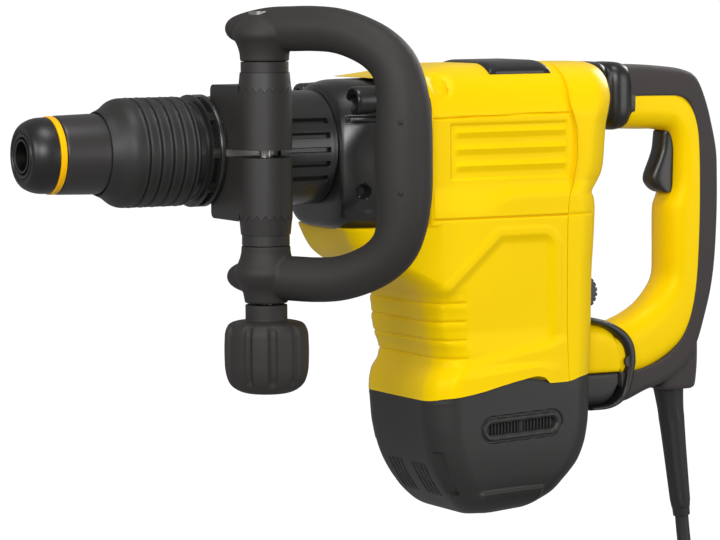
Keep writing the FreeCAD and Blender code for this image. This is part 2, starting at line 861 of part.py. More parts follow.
def toothed_spacer(sign):
    """Tapered spacer whose teeth lock into the clamp block."""
    x, y = number("post_axis_x"), number("post_axis_y")
    radius, depth = number("post_radius"), number("tooth_depth")
    plane, top = number("tooth_plane") - depth / 2, 50.2
    cone = Part.makeCone(radius, radius - 1.3, top - plane, Vector(x, y, plane))
    ridges = [ridge.translated(Vector(x, y, 0.3)) for ridge in teeth(plane, 1, radius)]
    below = Part.makeCylinder(radius + 1, 0.3, Vector(x, y, plane))
    block = cone.cut(Part.makeCompound([below])).cut(ridges)
    block = block.cut(Part.makeCylinder(4.08, 80, Vector(x, y, 0)))
    if sign < 0:
        block = block.mirror(Vector(), Vector(0, 0, 1))
    return block


def post_rings():
    """Plain rings between each spacer and the bow's hubs."""
    rings = []
    for sign in (-1, 1):
        low, high = sorted((sign * 50.4, sign * 56.8))
        profile = [(4.08, low), (14.9, low), (14.9, high), (4.08, high)]
        rings.append(spindle(profile, "post_axis_x", "post_axis_y"))
    return fuse(*rings)


def bow_path(reach, half, corner):
    """The bow's centre line from the upper hub to the lower one, in its own plane."""
    arc = math.sqrt(0.5) * corner
    middle, straight = reach - corner, half - corner
    upper = Part.Arc(Vector(middle, 0, half), Vector(middle + arc, 0, straight + arc), Vector(reach, 0, straight))
    lower = Part.Arc(Vector(reach, 0, -straight), Vector(middle + arc, 0, -straight - arc), Vector(middle, 0, -half))
    return [
        Part.LineSegment(Vector(-HEEL, 0, half), Vector(middle, 0, half)).toShape(),
        upper.toShape(),
        Part.LineSegment(Vector(reach, 0, straight), Vector(reach, 0, -straight)).toShape(),
        lower.toShape(),
        Part.LineSegment(Vector(middle, 0, -half), Vector(-HEEL, 0, -half)).toShape(),
    ]


HEEL = 12.5


def bow_hub(sign):
    """Flared hub between the post's ring and the arm."""
    low, wide, end = 57, 75, 83 if sign > 0 else 93
    profile = [(0, low), (14.7, low), (14.7, low + 3), (19.5, wide), (17.5, wide + 8), (12.4, end), (0, end)]
    if sign > 0:
        profile.pop(5)
    edges = Part.makePolygon([Vector(radius, 0, sign * height) for radius, height in profile + profile[:1]])
    return Part.Face(edges).revolve(Vector(), Vector(0, 0, 1), 360)


def bow_handle():
    """Bow grip: two arms, two bends and an upright grip, with a hub at each end of the post."""
    reach, half, corner = number("bow_reach"), number("bow_half_height"), 42
    arm, grip = number("bow_arm_radius"), number("bow_grip_radius")
    spine = Part.Wire(bow_path(reach, half, corner))
    section = Part.Wire(Part.makeCircle(arm, Vector(-HEEL, 0, half), Vector(1, 0, 0)))
    loop = spine.makePipeShell([section], True, False)
    straight, taper = half - corner, 8
    profile = [(0, -straight - taper), (arm + 0.1, -straight - taper), (grip, -straight), (grip, straight),
               (arm + 0.1, straight + taper), (0, straight + taper)]
    edges = Part.makePolygon([Vector(reach + radius, 0, height) for radius, height in profile + profile[:1]])
    thick = Part.Face(edges).revolve(Vector(reach, 0, 0), Vector(0, 0, 1), 360)
    solids = [thick]
    for sign in (-1, 1):
        solids += [Part.makeSphere(arm + 0.2, Vector(-HEEL, 0, sign * half)), bow_hub(sign)]
    bow = loop.fuse(solids)
    bow = bow.cut(Part.makeCylinder(4.08, 260, Vector(0, 0, -130)))
    bow = bow.cut(Part.makeCylinder(10.3, 30, Vector(0, 0, 84)))
    item = feature(bow)
    turn = Rotation(Vector(0, 0, 1), -number("bow_turn"))
    item.Placement = Placement(Vector(number("post_axis_x"), number("post_axis_y"), 0), turn)
    return item


def clamp_knob():
    """Fluted knob on the lower end of the bolt."""
    knob = spindle(
        [(4.05, -94), (13.2, -94), (13.2, -103.6), (21.5, -104.6), (25.6, -110), (26.4, -120), (25.6, -138),
         (22, -147.4), (0, -150), (0, -120.5), (4.05, -120.5)],
        "post_axis_x", "post_axis_y",
    )
    flutes = []
    for index in range(10):
        turn = Placement(
            Vector(number("post_axis_x"), number("post_axis_y"), 0), Rotation(Vector(0, 0, 1), 36 * index)
        )
        flute = document.addObject("Part::Cylinder", "Flute")
        bind(flute, "Radius", 3.2)
        bind(flute, "Height", 46)
        flute.Placement = turn * Placement(Vector(28, 0, -148), Rotation())
        flutes.append(flute)
    return cut(knob, *flutes)


# Main handle ---------------------------------------------------------------------------------------

FRAME_EDGE = [(448, -156.5), (462, -155.5), (477, -148.5), (486, -136), (493.6, -117), (496.6, -80), (497.4, -20),
              (496, 0), (491.6, 17.6), (478.6, 26.6), (448, 27.6)]
BACK_EDGE = [(448, 28), (479, 27), (492, 18), (496.5, 0), (498, -20), (497, -80), (494, -117), (486.4, -136.3),
             (477.3, -149), (462, -156), (448, -157)]


def handle_frame():
    """Yellow core of the handle: upper arm, grip, lower arm and the pivot lug that enters the stub."""
    finger_side = [
        (448, 5), (475, 4), (477, -37), ("grip_front", -42), ("grip_front", -96), (457, -106), (448, -112),
    ]
    outer = slab(FRAME_EDGE + finger_side, "handle_half")
    cavity = slab([(470, -92), (490, -92), (492, -22), (489, 5), (480, 5), (481, -38), (470, -44)], 14)
    trigger_slot = box((460, -9.2, -40), (487, 9.2, 5.5))
    trigger_axle = rod(2, ("trigger_axis_x", -15, "trigger_axis_height"), 30, "y")
    lug = slab([(424, -157), (449, -156), (449, -143), (424, -143)], 11.5)
    hollowed = cut(fuse(outer, lug), cavity, trigger_slot, rod(4.06, ("pivot_x", -13, "pivot_height"), 26, "y"))
    return fuse(hollowed, trigger_axle)


RELIEF_START = Vector(477, 0, -167)


def relief_end():
    return Vector(number("cord_exit_x"), 0, number("cord_exit_height"))


def relief_placement():
    """Where the strain relief starts and the way it leans."""
    return Placement(RELIEF_START, Rotation(Vector(0, 0, 1), relief_end() - RELIEF_START))


def handle_overmould():
    """Soft black cover over the top, the back and the underside, down to the cord's outlet."""
    back = [(448, 49), (484, 45), (492.5, 41), (500, 25), (507, 5), (510, -13), (510, -39), (509, -75), (508, -95),
            (504.5, -110), (500, -126), (495, -140), (494, -175), (466, -175), (462, -168), (448, -178)]
    shell = slab(BACK_EDGE + back[::-1], "handle_half + 1.5")
    seat = feature(Part.makeCylinder(9.62, 24))
    seat.Placement = relief_placement()
    return cut(shell, seat)


def trigger():
    """Long switch trigger, hinged at its upper end."""
    points = [(460.5, 3.4), (484.4, 3.2), (484.4, -6), (476, -9), (475.5, -36), (468, -38.6), (461, -35),
              (456, -28), (457.5, -21), (461, -14), (460, -5)]
    axle_hole = rod(2.06, ("trigger_axis_x", -12, "trigger_axis_height"), 24, "y")
    return cut(slab(points, 8.5), axle_hole)


def switch_unit():
    return box((479.4, -10, -82), (490, 10, -44))


def handle_stub():
    """Housing's half of the lower joint: a hollow stub that holds the pivot pin."""
    rear = "housing_rear + 0.3"
    side = [(rear, -183), (rear, -124), (411, -121.5), (424, -126), (434, -137), (436, -156), (432, -174), (423, -183)]
    hollow = [(399, -179), (399, -128), (411, -126), (423, -130.5), (440, -141), (440, -162), (436, -166), (421, -179)]
    return cut(slab(side, 20), slab(hollow, 16), rod(4, ("pivot_x", -22, "pivot_height"), 44, "y"))


def pivot_pin():
    return rod(4, ("pivot_x", -20, "pivot_height"), 40, "y")


def joint_boot():
    """Rubber band that seals the gap between the stub and the handle's lower arm."""
    outer = slab([(424.5, -125.6), (438, -128), (447.6, -140), (447.6, -160), (442, -177), (430, -187), (424, -184.2),
                  (432.6, -174.2), (436.4, -156), (434.6, -137), (427, -127.6)], 21)
    return cut(outer, slab([(434, -166), (450, -166), (450, -138), (434, -138)], 16.5))


def bellows():
    """Rubber bellows between the rear shell and the upper arm, with two folds."""
    low, high = 5, 48.6
    folds = []
    spans = [(404.6, 409.4, 0), (409.4, 423, 3.2), (423, 428, 0), (428, 441, 3.2), (441, 447.4, 0)]
    for start, end, swell in spans:
        folds.append(box((start, -17 - swell, low - swell), (end, 17 + swell, high + 0.6 * swell)))
    hollow = box((400, -13, low + 4), (450, 13, high - 4))
    return cut(fuse(*folds), hollow, slab(REAR_SIDE, 60))


def damping_springs():
    """Coil spring inside the bellows that carries the handle's upper end."""
    return fuse(*[coil(Vector(410.4 + 5.8 * index, 0, 27), ALONG_X, 9, 1.4) for index in range(7)])


def strain_relief():
    """Ribbed rubber sleeve that guides the cord out of the handle, leaning slightly to the rear."""
    length = (relief_end() - RELIEF_START).Length
    profile = [(4.75, 0), (9.6, 0), (9.4, 20), (8.6, 25), (6.5, length), (4.75, length)]
    edges = Part.makePolygon([Vector(radius, 0, along) for radius, along in profile + profile[:1]])
    sleeve = Part.Face(edges).revolve(Vector(), Vector(0, 0, 1), 360)
    item = feature(sleeve)
    item.Placement = relief_placement()
    return item


# Cord ----------------------------------------------------------------------------------------------


def cord_route():
    """Hand-chosen points of the free cord, from the strain relief's mouth to the coil's edge."""
    x, z, floor = number("cord_exit_x"), number("cord_exit_height"), number("rest_height") + number("cord_radius")
    return [
        Vector(x, 0, z),
        Vector(x + 2.4, 0, z - 26),
        Vector(x + 3.4, -9, z - 49),
        Vector(x + 3.8, -26, z - 66.6),
        Vector(x + 3.8, -50, floor),
        Vector(x + 3.8, -76, floor),
    ]


def corded_path(points):
    """Straight runs joined by tangent arcs, each as large as its two runs allow."""
    edges = []
    at = points[0]
    radii = []
    for index in range(1, len(points) - 1):
        before, corner, after = points[index - 1], points[index], points[index + 1]
        into, out = (corner - before), (after - corner)
        half_turn = into.getAngle(out) / 2
        trim = 0.45 * min(into.Length, out.Length)
        radii.append(trim / math.tan(half_turn))
        into.normalize()
        out.normalize()
        start, end = corner - into * trim, corner + out * trim
        bisector = (out - into).normalize()
        middle = corner + bisector * (radii[-1] / math.cos(half_turn) - radii[-1])
        edges.append(Part.LineSegment(at, start).toShape())
        edges.append(Part.Arc(start, middle, end).toShape())
        at = end
    edges.append(Part.LineSegment(at, points[-1]).toShape())
    print("cord radii in diameters:", [round(radius / (2 * number("cord_radius")), 1) for radius in radii])
    return Part.Wire(edges)


def cord_tube():
    points = cord_route()
    path = corded_path(points)
    radius = number("cord_radius")
    section = Part.Wire(Part.makeCircle(radius, points[0], points[1] - points[0]))
    tube = path.makePipeShell([section], True, False)
    print("cord tube: volume / (section x length) =", round(tube.Volume / (math.pi * radius**2 * path.Length), 4))
    print("cord tube length:", round(path.Length, 1))
    return feature(tube)


def coil_centre():
    """The cord's last run meets the outermost turns a little before their widest point."""
    end = cord_route()[-1]
    return end.x - number("coil_radius"), end.y - 44


def cord_coil():
    """The outer shape of the laid-up cord: one flat ring."""
    x, y = coil_centre()
    middle, half, high = number("coil_radius"), number("coil_half_width"), number("coil_height")
    floor = number("rest_height")
    ring = Part.makeCylinder(middle + half, high, Vector(x, y, floor))
    return feature(ring.cut(Part.makeCylinder(middle - half, high, Vector(x, y, floor))))


def plug():
    """Two-pole mains plug at the free end, lying on the coil."""
    x, y = coil_centre()
    side, height = x - number("coil_radius"), number("rest_height") + number("coil_height") + 13
    along = Vector(0, 1, 0)
    start = y - 30
    neck = Part.makeCone(5.6, 11, 20, Vector(side, start, height), along)
    body = Part.makeCylinder(13, 34, Vector(side, start + 20, height), along)
    pins = [Part.makeCylinder(2.4, 19, Vector(side + spread, start + 54, height), along) for spread in (-9.5, 9.5)]
    return feature(body.fuse([neck] + pins))


# All sub-parts -------------------------------------------------------------------------------------


def crank_bearings():
    lower = ring_bearing(9.05, 20, "crank_axis_x", -60.9, 10)
    return fuse(lower, ring_bearing(9.05, 15, "crank_axis_x", -34, 10))


def motor_bearings():
    upper = ring_bearing(5.05, 14, "motor_axis_x", -66, 7)
    return fuse(upper, ring_bearing(5.05, 11, "motor_axis_x", -205, 6))


def clamp_blocks():
    """The two halves of the side clamp, mirror images of each other."""
    return feature(Part.makeCompound([clamp_block(1), clamp_block(-1)]))


def toothed_spacers():
    return feature(Part.makeCompound([toothed_spacer(1), toothed_spacer(-1)]))


SUB_PARTS = [
    nose_cap, tool_holder, locking_rollers, locking_sleeve, sleeve_ring, index_collar, release_spring,
    barrel, neck_ring, slotted_cover, cylinder, beat_piece, ram,
    piston, wrist_pin, connecting_rod, crank, crank_gear, crank_bearings, gear_case,
    absorber_base, absorber_weight, absorber_springs,
    armature_shaft, armature_core, commutator, cooling_fan, motor_bearings, stator, brush_frame, carbon_brushes,
    nose_shell, main_housing, rear_shell, motor_cap, inlet_grilles, top_cover, housing_screws,
    control_module, speed_dial,
    clamp_blocks, clamp_band, clamp_bolt, toothed_spacers, post_rings, bow_handle, clamp_knob,
    handle_frame, handle_overmould, trigger, switch_unit, handle_stub, pivot_pin, joint_boot,
    bellows, damping_springs, strain_relief, cord_tube, cord_coil, plug,
]

for build in SUB_PARTS:
    keep(build.__name__, build())

document.recompute()
failed = [item.Label for item in document.Objects if {"Invalid", "Error"} & set(item.State)]
if failed:
    raise SystemExit(f"failed objects: {failed}")
for label, item in NODES.items():
    if item.Shape.isNull() or not item.Shape.isValid():
        raise SystemExit(f"{label} has no valid shape")

os.makedirs("parts", exist_ok=True)
for label, item in NODES.items():
    item.Shape.exportStep(f"parts/{label}.step")
print(len(NODES), "sub-parts written")
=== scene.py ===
"""Demolition hammer: the looks of every visible piece, built round the packed frame.

Lengths in this file are millimetres and become metres when a mesh is made. The hammer axis is X, the nose
points to -X, +Z is up, and the post of the bow handle stands on the -Y side.
"""

import bpy
import bmesh
import numpy as np
from mathutils import Matrix, Vector


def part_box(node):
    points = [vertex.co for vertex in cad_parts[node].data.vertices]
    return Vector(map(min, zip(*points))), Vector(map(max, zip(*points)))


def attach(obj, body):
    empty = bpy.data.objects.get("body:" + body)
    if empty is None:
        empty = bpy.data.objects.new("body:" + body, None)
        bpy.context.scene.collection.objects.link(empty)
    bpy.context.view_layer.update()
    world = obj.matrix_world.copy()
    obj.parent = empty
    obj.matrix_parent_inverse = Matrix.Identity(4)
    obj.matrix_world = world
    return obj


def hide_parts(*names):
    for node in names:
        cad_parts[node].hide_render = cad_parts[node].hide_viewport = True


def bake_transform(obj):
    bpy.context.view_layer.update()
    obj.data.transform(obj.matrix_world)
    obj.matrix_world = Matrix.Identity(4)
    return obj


bl_info = {
    "name": "Demolition Hammer",
    "version": (1, 0, 0),
    "blender": (4, 5, 0),
    "location": "View3D > Sidebar > Hammer",
    "description": "Builds the shells, grips, chuck and cord of a corded demolition hammer",
    "category": "Object",
}

MM = 0.001
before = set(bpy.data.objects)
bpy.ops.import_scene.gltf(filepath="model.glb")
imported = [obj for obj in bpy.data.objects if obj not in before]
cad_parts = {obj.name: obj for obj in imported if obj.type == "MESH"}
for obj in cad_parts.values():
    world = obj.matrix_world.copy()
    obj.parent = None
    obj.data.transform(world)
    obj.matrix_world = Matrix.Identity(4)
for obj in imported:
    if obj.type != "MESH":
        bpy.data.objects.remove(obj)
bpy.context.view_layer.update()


def corners(node):
    """Lowest and highest corner of a CAD node in millimetres."""
    low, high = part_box(node)
    return np.array(low) / MM, np.array(high) / MM


# Numbers that several pieces share ---------------------------------------------------------------

POST = (corners("clamp_knob")[0] + corners("clamp_knob")[1]) / 2
BOW_TURN = np.radians(-55)
FLOOR = corners("cord_coil")[0][2]


# Numpy geometry ----------------------------------------------------------------------------------


def ramp(value, start, end):
    """Smooth step from 0 at start to 1 at end: 3t^2 - 2t^3."""
    t = np.clip((value - start) / (end - start), 0, 1)
    return t * t * (3 - 2 * t)


def window(value, low, high, soft):
    """1 between low and high, falling smoothly to 0 over soft on each side."""
    return ramp(value, low - soft, low) * (1 - ramp(value, high, high + soft))


def curve(knots, count):
    """Cubic Hermite curve through the rows of knots, with slopes taken from their neighbours."""
    knots = np.asarray(knots, float)
    t = np.linspace(0, len(knots) - 1, count)
    index = np.minimum(t.astype(int), len(knots) - 2)
    f = (t - index)[:, None]
    slope = np.gradient(knots, axis=0)
    a, b, da, db = knots[index], knots[index + 1], slope[index], slope[index + 1]
    start = (2 * f**3 - 3 * f**2 + 1) * a + (f**3 - 2 * f**2 + f) * da
    return start + (3 * f**2 - 2 * f**3) * b + (f**3 - f**2) * db


def monotone(at, knots):
    """Smooth values through a table of (position, value, ...) rows without overshoot.

    The pieces are cubic Hermite. The slope at a row is the harmonic mean 2ab/(a+b) of the slopes on its two
    sides, or zero where they differ in sign."""
    table = np.asarray(sorted(knots), float)
    place, values = table[:, 0], table[:, 1:]
    slope = np.diff(values, axis=0) / np.diff(place)[:, None]
    before, after = slope[:-1], slope[1:]
    same = before * after > 0
    middle = np.where(same, 2 * before * after / np.where(same, before + after, 1), 0)
    slopes = np.concatenate([slope[:1], middle, slope[-1:]])
    at = np.clip(np.asarray(at, float), place[0], place[-1])
    index = np.clip(np.searchsorted(place, at, side="right") - 1, 0, len(place) - 2)
    width = (place[index + 1] - place[index])[..., None]
    t = (at - place[index])[..., None] / width
    start = values[index] * (1 + 2 * t) * (1 - t) ** 2 + slopes[index] * width * t * (1 - t) ** 2
    return start + values[index + 1] * t**2 * (3 - 2 * t) + slopes[index + 1] * width * t**2 * (t - 1)


def rounded(points, steps=6):
    """Outline through (a, b, radius) corners, each a quadratic curve between points on its two sides."""
    points = np.asarray(points, float)
    result = []
    t = np.linspace(0, 1, steps)[:, None]
    for index, (a, b, radius) in enumerate(points):
        corner = np.array([a, b])
        before = points[index - 1][:2] - corner
        after = points[(index + 1) % len(points)][:2] - corner
        if radius <= 0:
            result.append(corner[None])
            continue
        reach_in = min(radius, np.linalg.norm(before) * 0.5)
        reach_out = min(radius, np.linalg.norm(after) * 0.5)
        start = corner + before / np.linalg.norm(before) * reach_in
        end = corner + after / np.linalg.norm(after) * reach_out
        result.append((1 - t) ** 2 * start + 2 * t * (1 - t) * corner + t**2 * end)
    return np.concatenate(result)


def lined(start, end, step, *marks):
    """Positions from start to end about a step apart, with four more close to each mark."""
    count = max(int(abs(end - start) / step), 2) + 1
    extra = [mark + shift for mark in marks for shift in (-0.55, -0.2, 0.2, 0.55)]
    return np.unique(np.round(np.concatenate([np.linspace(start, end, count), extra]), 3))


def grid_faces(rows, columns, wrap_rows, keep):
    """Corner numbers of the quads between neighbouring rows and columns of a grid whose rows are loops."""
    i = np.arange(rows if wrap_rows else rows - 1)[:, None]
    j = np.arange(columns)[None, :]
    i2, j2 = (i + 1) % rows, (j + 1) % columns
    quads = np.stack([i * columns + j, i2 * columns + j, i2 * columns + j2, i * columns + j2], -1)
    if keep is not None:
        return quads[keep[: quads.shape[0], : quads.shape[1]]]
    return quads.reshape(-1, 4)


def make_piece(name, parts, angle=32):
    """One mesh object from (points, faces) parts in millimetres, welded, with its normals turned outwards."""
    points, faces, offset = [], [], 0
    for part_points, part_faces in parts:
        points.append(part_points.reshape(-1, 3))
        faces += [[corner + offset for corner in face] for face in part_faces]
        offset += len(points[-1])
    mesh = bpy.data.meshes.new(name)
    mesh.from_pydata(np.concatenate(points) * MM, [], faces)
    work = bmesh.new()
    work.from_mesh(mesh)
    bmesh.ops.remove_doubles(work, verts=work.verts, dist=2e-6)
    bmesh.ops.recalc_face_normals(work, faces=work.faces)
    work.to_mesh(mesh)
    work.free()
    mesh.polygons.foreach_set("use_smooth", np.ones(len(mesh.polygons), bool))
    mesh.set_sharp_from_angle(angle=np.radians(angle))
    piece = bpy.data.objects.new(name, mesh)
    bpy.context.scene.collection.objects.link(piece)
    return piece


def sheet(points, wrap_rows=False, caps=True, keep=None):
    """A grid of points as a part. Each row is a loop, and the end rows get a flat face unless they join."""
    rows, columns = points.shape[:2]
    faces = grid_faces(rows, columns, wrap_rows, keep).tolist()
    if caps and not wrap_rows:
        faces += [list(range(columns)), list(range((rows - 1) * columns, rows * columns))]
    return points, faces


def turned(profile, segments=160, axis="x", centre=(0, 0), shape=None, closed=True):
    """Surface of revolution of (along, radius) points: centre + radius (cos a, sin a) across the axis.
    shape(along, radius, angle) may change the radius."""
    profile = np.asarray(profile, float)
    angle = np.linspace(0, 2 * np.pi, segments, endpoint=False)
    along = np.repeat(profile[:, :1], segments, 1)
    radius = np.repeat(profile[:, 1:2], segments, 1)
    if shape is not None:
        radius = shape(along, radius, angle[None, :] + 0 * radius)
    first, second = centre[0] + radius * np.cos(angle), centre[1] + radius * np.sin(angle)
    stacks = {"x": (along, first, second), "y": (second, along, first), "z": (first, second, along)}
    points = np.stack(stacks[axis], -1)
    return sheet(points, wrap_rows=closed, caps=not closed)


def loft(centres, first, second, power, segments, power_back=None):
    """Superellipse sections along a line of centres: C + A c|c|^(2/p-1) + B s|s|^(2/p-1), where c and s are
    the cosine and sine of one angle. power_back is p on the -A half."""
    angle = np.linspace(0, 2 * np.pi, segments, endpoint=False)
    ahead = np.broadcast_to(np.asarray(power, float), (len(centres),))[:, None]
    behind = ahead if power_back is None else np.asarray(power_back, float)[:, None]
    exponent = 2 / np.where(np.cos(angle)[None, :] > 0, ahead, behind)
    c = np.sign(np.cos(angle)) * np.abs(np.cos(angle)) ** exponent
    s = np.sign(np.sin(angle)) * np.abs(np.sin(angle)) ** exponent
    points = centres[:, None] + first[:, None] * c[..., None] + second[:, None] * s[..., None]
    return sheet(points)


def rails(stations, count, segments):
    """Bar between two rails in the middle plane.

    Each station holds the inner and outer rail's (x, z), half the thickness across it and the
    section's power on its outer and inner side. Centre and half width are half the sum and difference of the
    rails."""
    table = curve(stations, count)
    u, v = np.array([1.0, 0, 0]), np.array([0, 0, 1.0])
    inner = table[:, 0:1] * u + table[:, 1:2] * v
    outer = table[:, 2:3] * u + table[:, 3:4] * v
    across = np.cross(u, v)[None] * table[:, 4:5]
    return loft((inner + outer) / 2, (outer - inner) / 2, across, table[:, 5], segments, table[:, 6])


def plan_loops(z, front, rear, half, front_round, rear_round, side, arc, face):
    """Closed loops round the hammer's middle plane at heights z: rectangles in plan whose corners are arcs.
    Returns the points and, for each, how far it faces sideways (0 on the front and rear, 1 on the sides)."""
    z, *outline = np.broadcast_arrays(z, front, rear, half, front_round, rear_round)
    f, r, w, a, b = (value[:, None] for value in outline)
    share = np.linspace(0, 1, face)[None, :-1]
    turn = np.linspace(0, np.pi / 2, arc)[None, :-1]
    x = [f + 0 * share, f + a - a * np.cos(turn), np.clip(side[None, :], f + a, r - b),
         r - b + b * np.sin(turn), r + 0 * share]
    y = [share * (w - a), w - a + a * np.sin(turn), w + 0 * side[None, :], w - b + b * np.cos(turn),
         (1 - share) * (w - b)]
    flat = [0 * share, np.sin(turn), 0 * side[None, :] + 1, np.cos(turn), 0 * share]

    def joined(stretches):
        """One row per height from the stretches of its outline."""
        return np.concatenate([np.broadcast_to(part, (len(z), part.shape[1])) for part in stretches], 1)

    x, y, flat = joined(x), joined(y), joined(flat)
    x, y, flat = (np.concatenate([v, s * v[:, ::-1]], 1) for v, s in ((x, 1), (y, -1), (flat, 1)))
    y = -y
    return np.stack([x, y, np.repeat(z[:, None], x.shape[1], 1)], -1), flat


def dress(piece, finish, body, slot, *nodes):
    """Gives a piece its finish, the body it rides on, its record slot and the CAD nodes it stands for."""
    piece.data.materials.append(Finishes.get(finish))
    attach(piece, body)
    if nodes:
        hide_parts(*nodes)
    return piece


# Materials ---------------------------------------------------------------------------------------


def tone(red, green, blue):
    """Linear colour of a display colour given from 0 to 255."""
    value = np.array([red, green, blue]) / 255
    linear = np.where(value <= 0.04045, value / 12.92, ((value + 0.055) / 1.055) ** 2.4)
    return (*linear.tolist(), 1.0)


def node_group(name, inputs, outputs):
    """A new shader group with (socket type, name, default) inputs and (socket type, name) outputs."""
    group = bpy.data.node_groups.new(name, "ShaderNodeTree")
    for kind, label, default in inputs:
        socket = group.interface.new_socket(label, in_out="INPUT", socket_type=kind)
        socket.default_value = default
    for kind, label in outputs:
        group.interface.new_socket(label, in_out="OUTPUT", socket_type=kind)
    return group, group.nodes.new("NodeGroupInput"), group.nodes.new("NodeGroupOutput")


def math_node(tree, operation, first, second):
    node = tree.nodes.new("ShaderNodeMath")
    node.operation = operation
    for socket, value in zip(node.inputs, (first, second)):
        if isinstance(value, (int, float)):
            socket.default_value = value
        else:
            tree.links.new(value, socket)
    return node.outputs[0]


def noise(tree, vector, scale, detail=2.0):
    node = tree.nodes.new("ShaderNodeTexNoise")
    node.inputs["Detail"].default_value = detail
    tree.links.new(vector, node.inputs["Vector"])
    if isinstance(scale, (int, float)):
        node.inputs["Scale"].default_value = scale
    else:
        tree.links.new(scale, node.inputs["Scale"])
    return node.outputs["Fac"]


def finish_group(group, entry, leave, level, rough, height, distance):
    """Ends a group: its colour scaled by level, the roughness, and a bump of the height over a distance."""
    tint = group.nodes.new("ShaderNodeVectorMath")
    tint.operation = "SCALE"
    bump = group.nodes.new("ShaderNodeBump")
    bump.inputs["Distance"].default_value = distance
    group.links.new(entry.outputs["Colour"], tint.inputs[0])
    group.links.new(level, tint.inputs["Scale"])
    group.links.new(height, bump.inputs["Height"])
    group.links.new(entry.outputs["Depth"], bump.inputs["Strength"])
    group.links.new(tint.outputs[0], leave.inputs["Colour"])
    group.links.new(rough, leave.inputs["Roughness"])
    group.links.new(bump.outputs[0], leave.inputs["Normal"])


def moulded_group():
    """Spark-eroded grain of a mould with slow changes of gloss and shade over the surface."""
    group, entry, leave = node_group(
        "Moulded surface",
        [("NodeSocketColor", "Colour", (0.5, 0.5, 0.5, 1)), ("NodeSocketFloat", "Shade", 0.05),
         ("NodeSocketFloat", "Roughness", 0.4), ("NodeSocketFloat", "Spread", 0.08),
         ("NodeSocketFloat", "Grain", 2500.0), ("NodeSocketFloat", "Depth", 0.1)],
        [("NodeSocketColor", "Colour"), ("NodeSocketFloat", "Roughness"), ("NodeSocketVector", "Normal")],
    )
    place = group.nodes.new("ShaderNodeTexCoord").outputs["Object"]
    fine = noise(group, place, entry.outputs["Grain"], 2.0)
    slow = noise(group, place, 14.0, 3.0)
    centred = math_node(group, "SUBTRACT", slow, 0.5)
    gloss = math_node(group, "MULTIPLY", centred, entry.outputs["Spread"])
    rough = math_node(group, "ADD", entry.outputs["Roughness"], gloss)
    speck = math_node(group, "MULTIPLY", math_node(group, "SUBTRACT", fine, 0.5), 0.4)
    shade = math_node(group, "MULTIPLY", math_node(group, "ADD", centred, speck), entry.outputs["Shade"])
    level = math_node(group, "ADD", 1.0, shade)
    finish_group(group, entry, leave, level, rough, fine, 0.0002)
    return group


def machined_group():
    """Fine tool marks that run round the X axis or along it, as stretched noise in roughness and height."""
    group, entry, leave = node_group(
        "Machined surface",
        [("NodeSocketColor", "Colour", (0.5, 0.5, 0.5, 1)), ("NodeSocketFloat", "Roughness", 0.3),
         ("NodeSocketVector", "Stretch", (900.0, 30.0, 30.0)), ("NodeSocketFloat", "Depth", 0.1)],
        [("NodeSocketColor", "Colour"), ("NodeSocketFloat", "Roughness"), ("NodeSocketVector", "Normal")],
    )
    place = group.nodes.new("ShaderNodeTexCoord").outputs["Object"]
    stretch = group.nodes.new("ShaderNodeVectorMath")
    stretch.operation = "MULTIPLY"
    group.links.new(place, stretch.inputs[0])
    group.links.new(entry.outputs["Stretch"], stretch.inputs[1])
    marks = noise(group, stretch.outputs[0], 1.0, 4.0)
    stain = noise(group, place, 60.0, 3.0)
    gloss = math_node(group, "MULTIPLY", math_node(group, "SUBTRACT", marks, 0.5), 0.25)
    rough = math_node(group, "ADD", entry.outputs["Roughness"], gloss)
    level = math_node(group, "ADD", 0.85, math_node(group, "MULTIPLY", stain, 0.3))
    finish_group(group, entry, leave, level, rough, marks, 0.0001)
    return group


def surface(name, group, values, metallic=0.0, specular=0.5, tint=(1, 1, 1), sheen=0.0):
    """A material whose colour, roughness and normal come from a group, and plain numbers on the shader."""
    material = bpy.data.materials.new(name)
    material.use_nodes = True
    tree = material.node_tree
    shader = tree.nodes["Principled BSDF"]
    shader.inputs["Metallic"].default_value = metallic
    shader.inputs["Specular IOR Level"].default_value = specular
    shader.inputs["Specular Tint"].default_value = (*tint, 1)
    shader.inputs["Sheen Weight"].default_value = sheen
    shader.inputs["Sheen Roughness"].default_value = 0.5
    node = tree.nodes.new("ShaderNodeGroup")
    node.node_tree = group
    node.location = (-300, 0)
    for label, value in values.items():
        node.inputs[label].default_value = value
    tree.links.new(node.outputs["Colour"], shader.inputs["Base Color"])
    tree.links.new(node.outputs["Roughness"], shader.inputs["Roughness"])
    tree.links.new(node.outputs["Normal"], shader.inputs["Normal"])
    return material


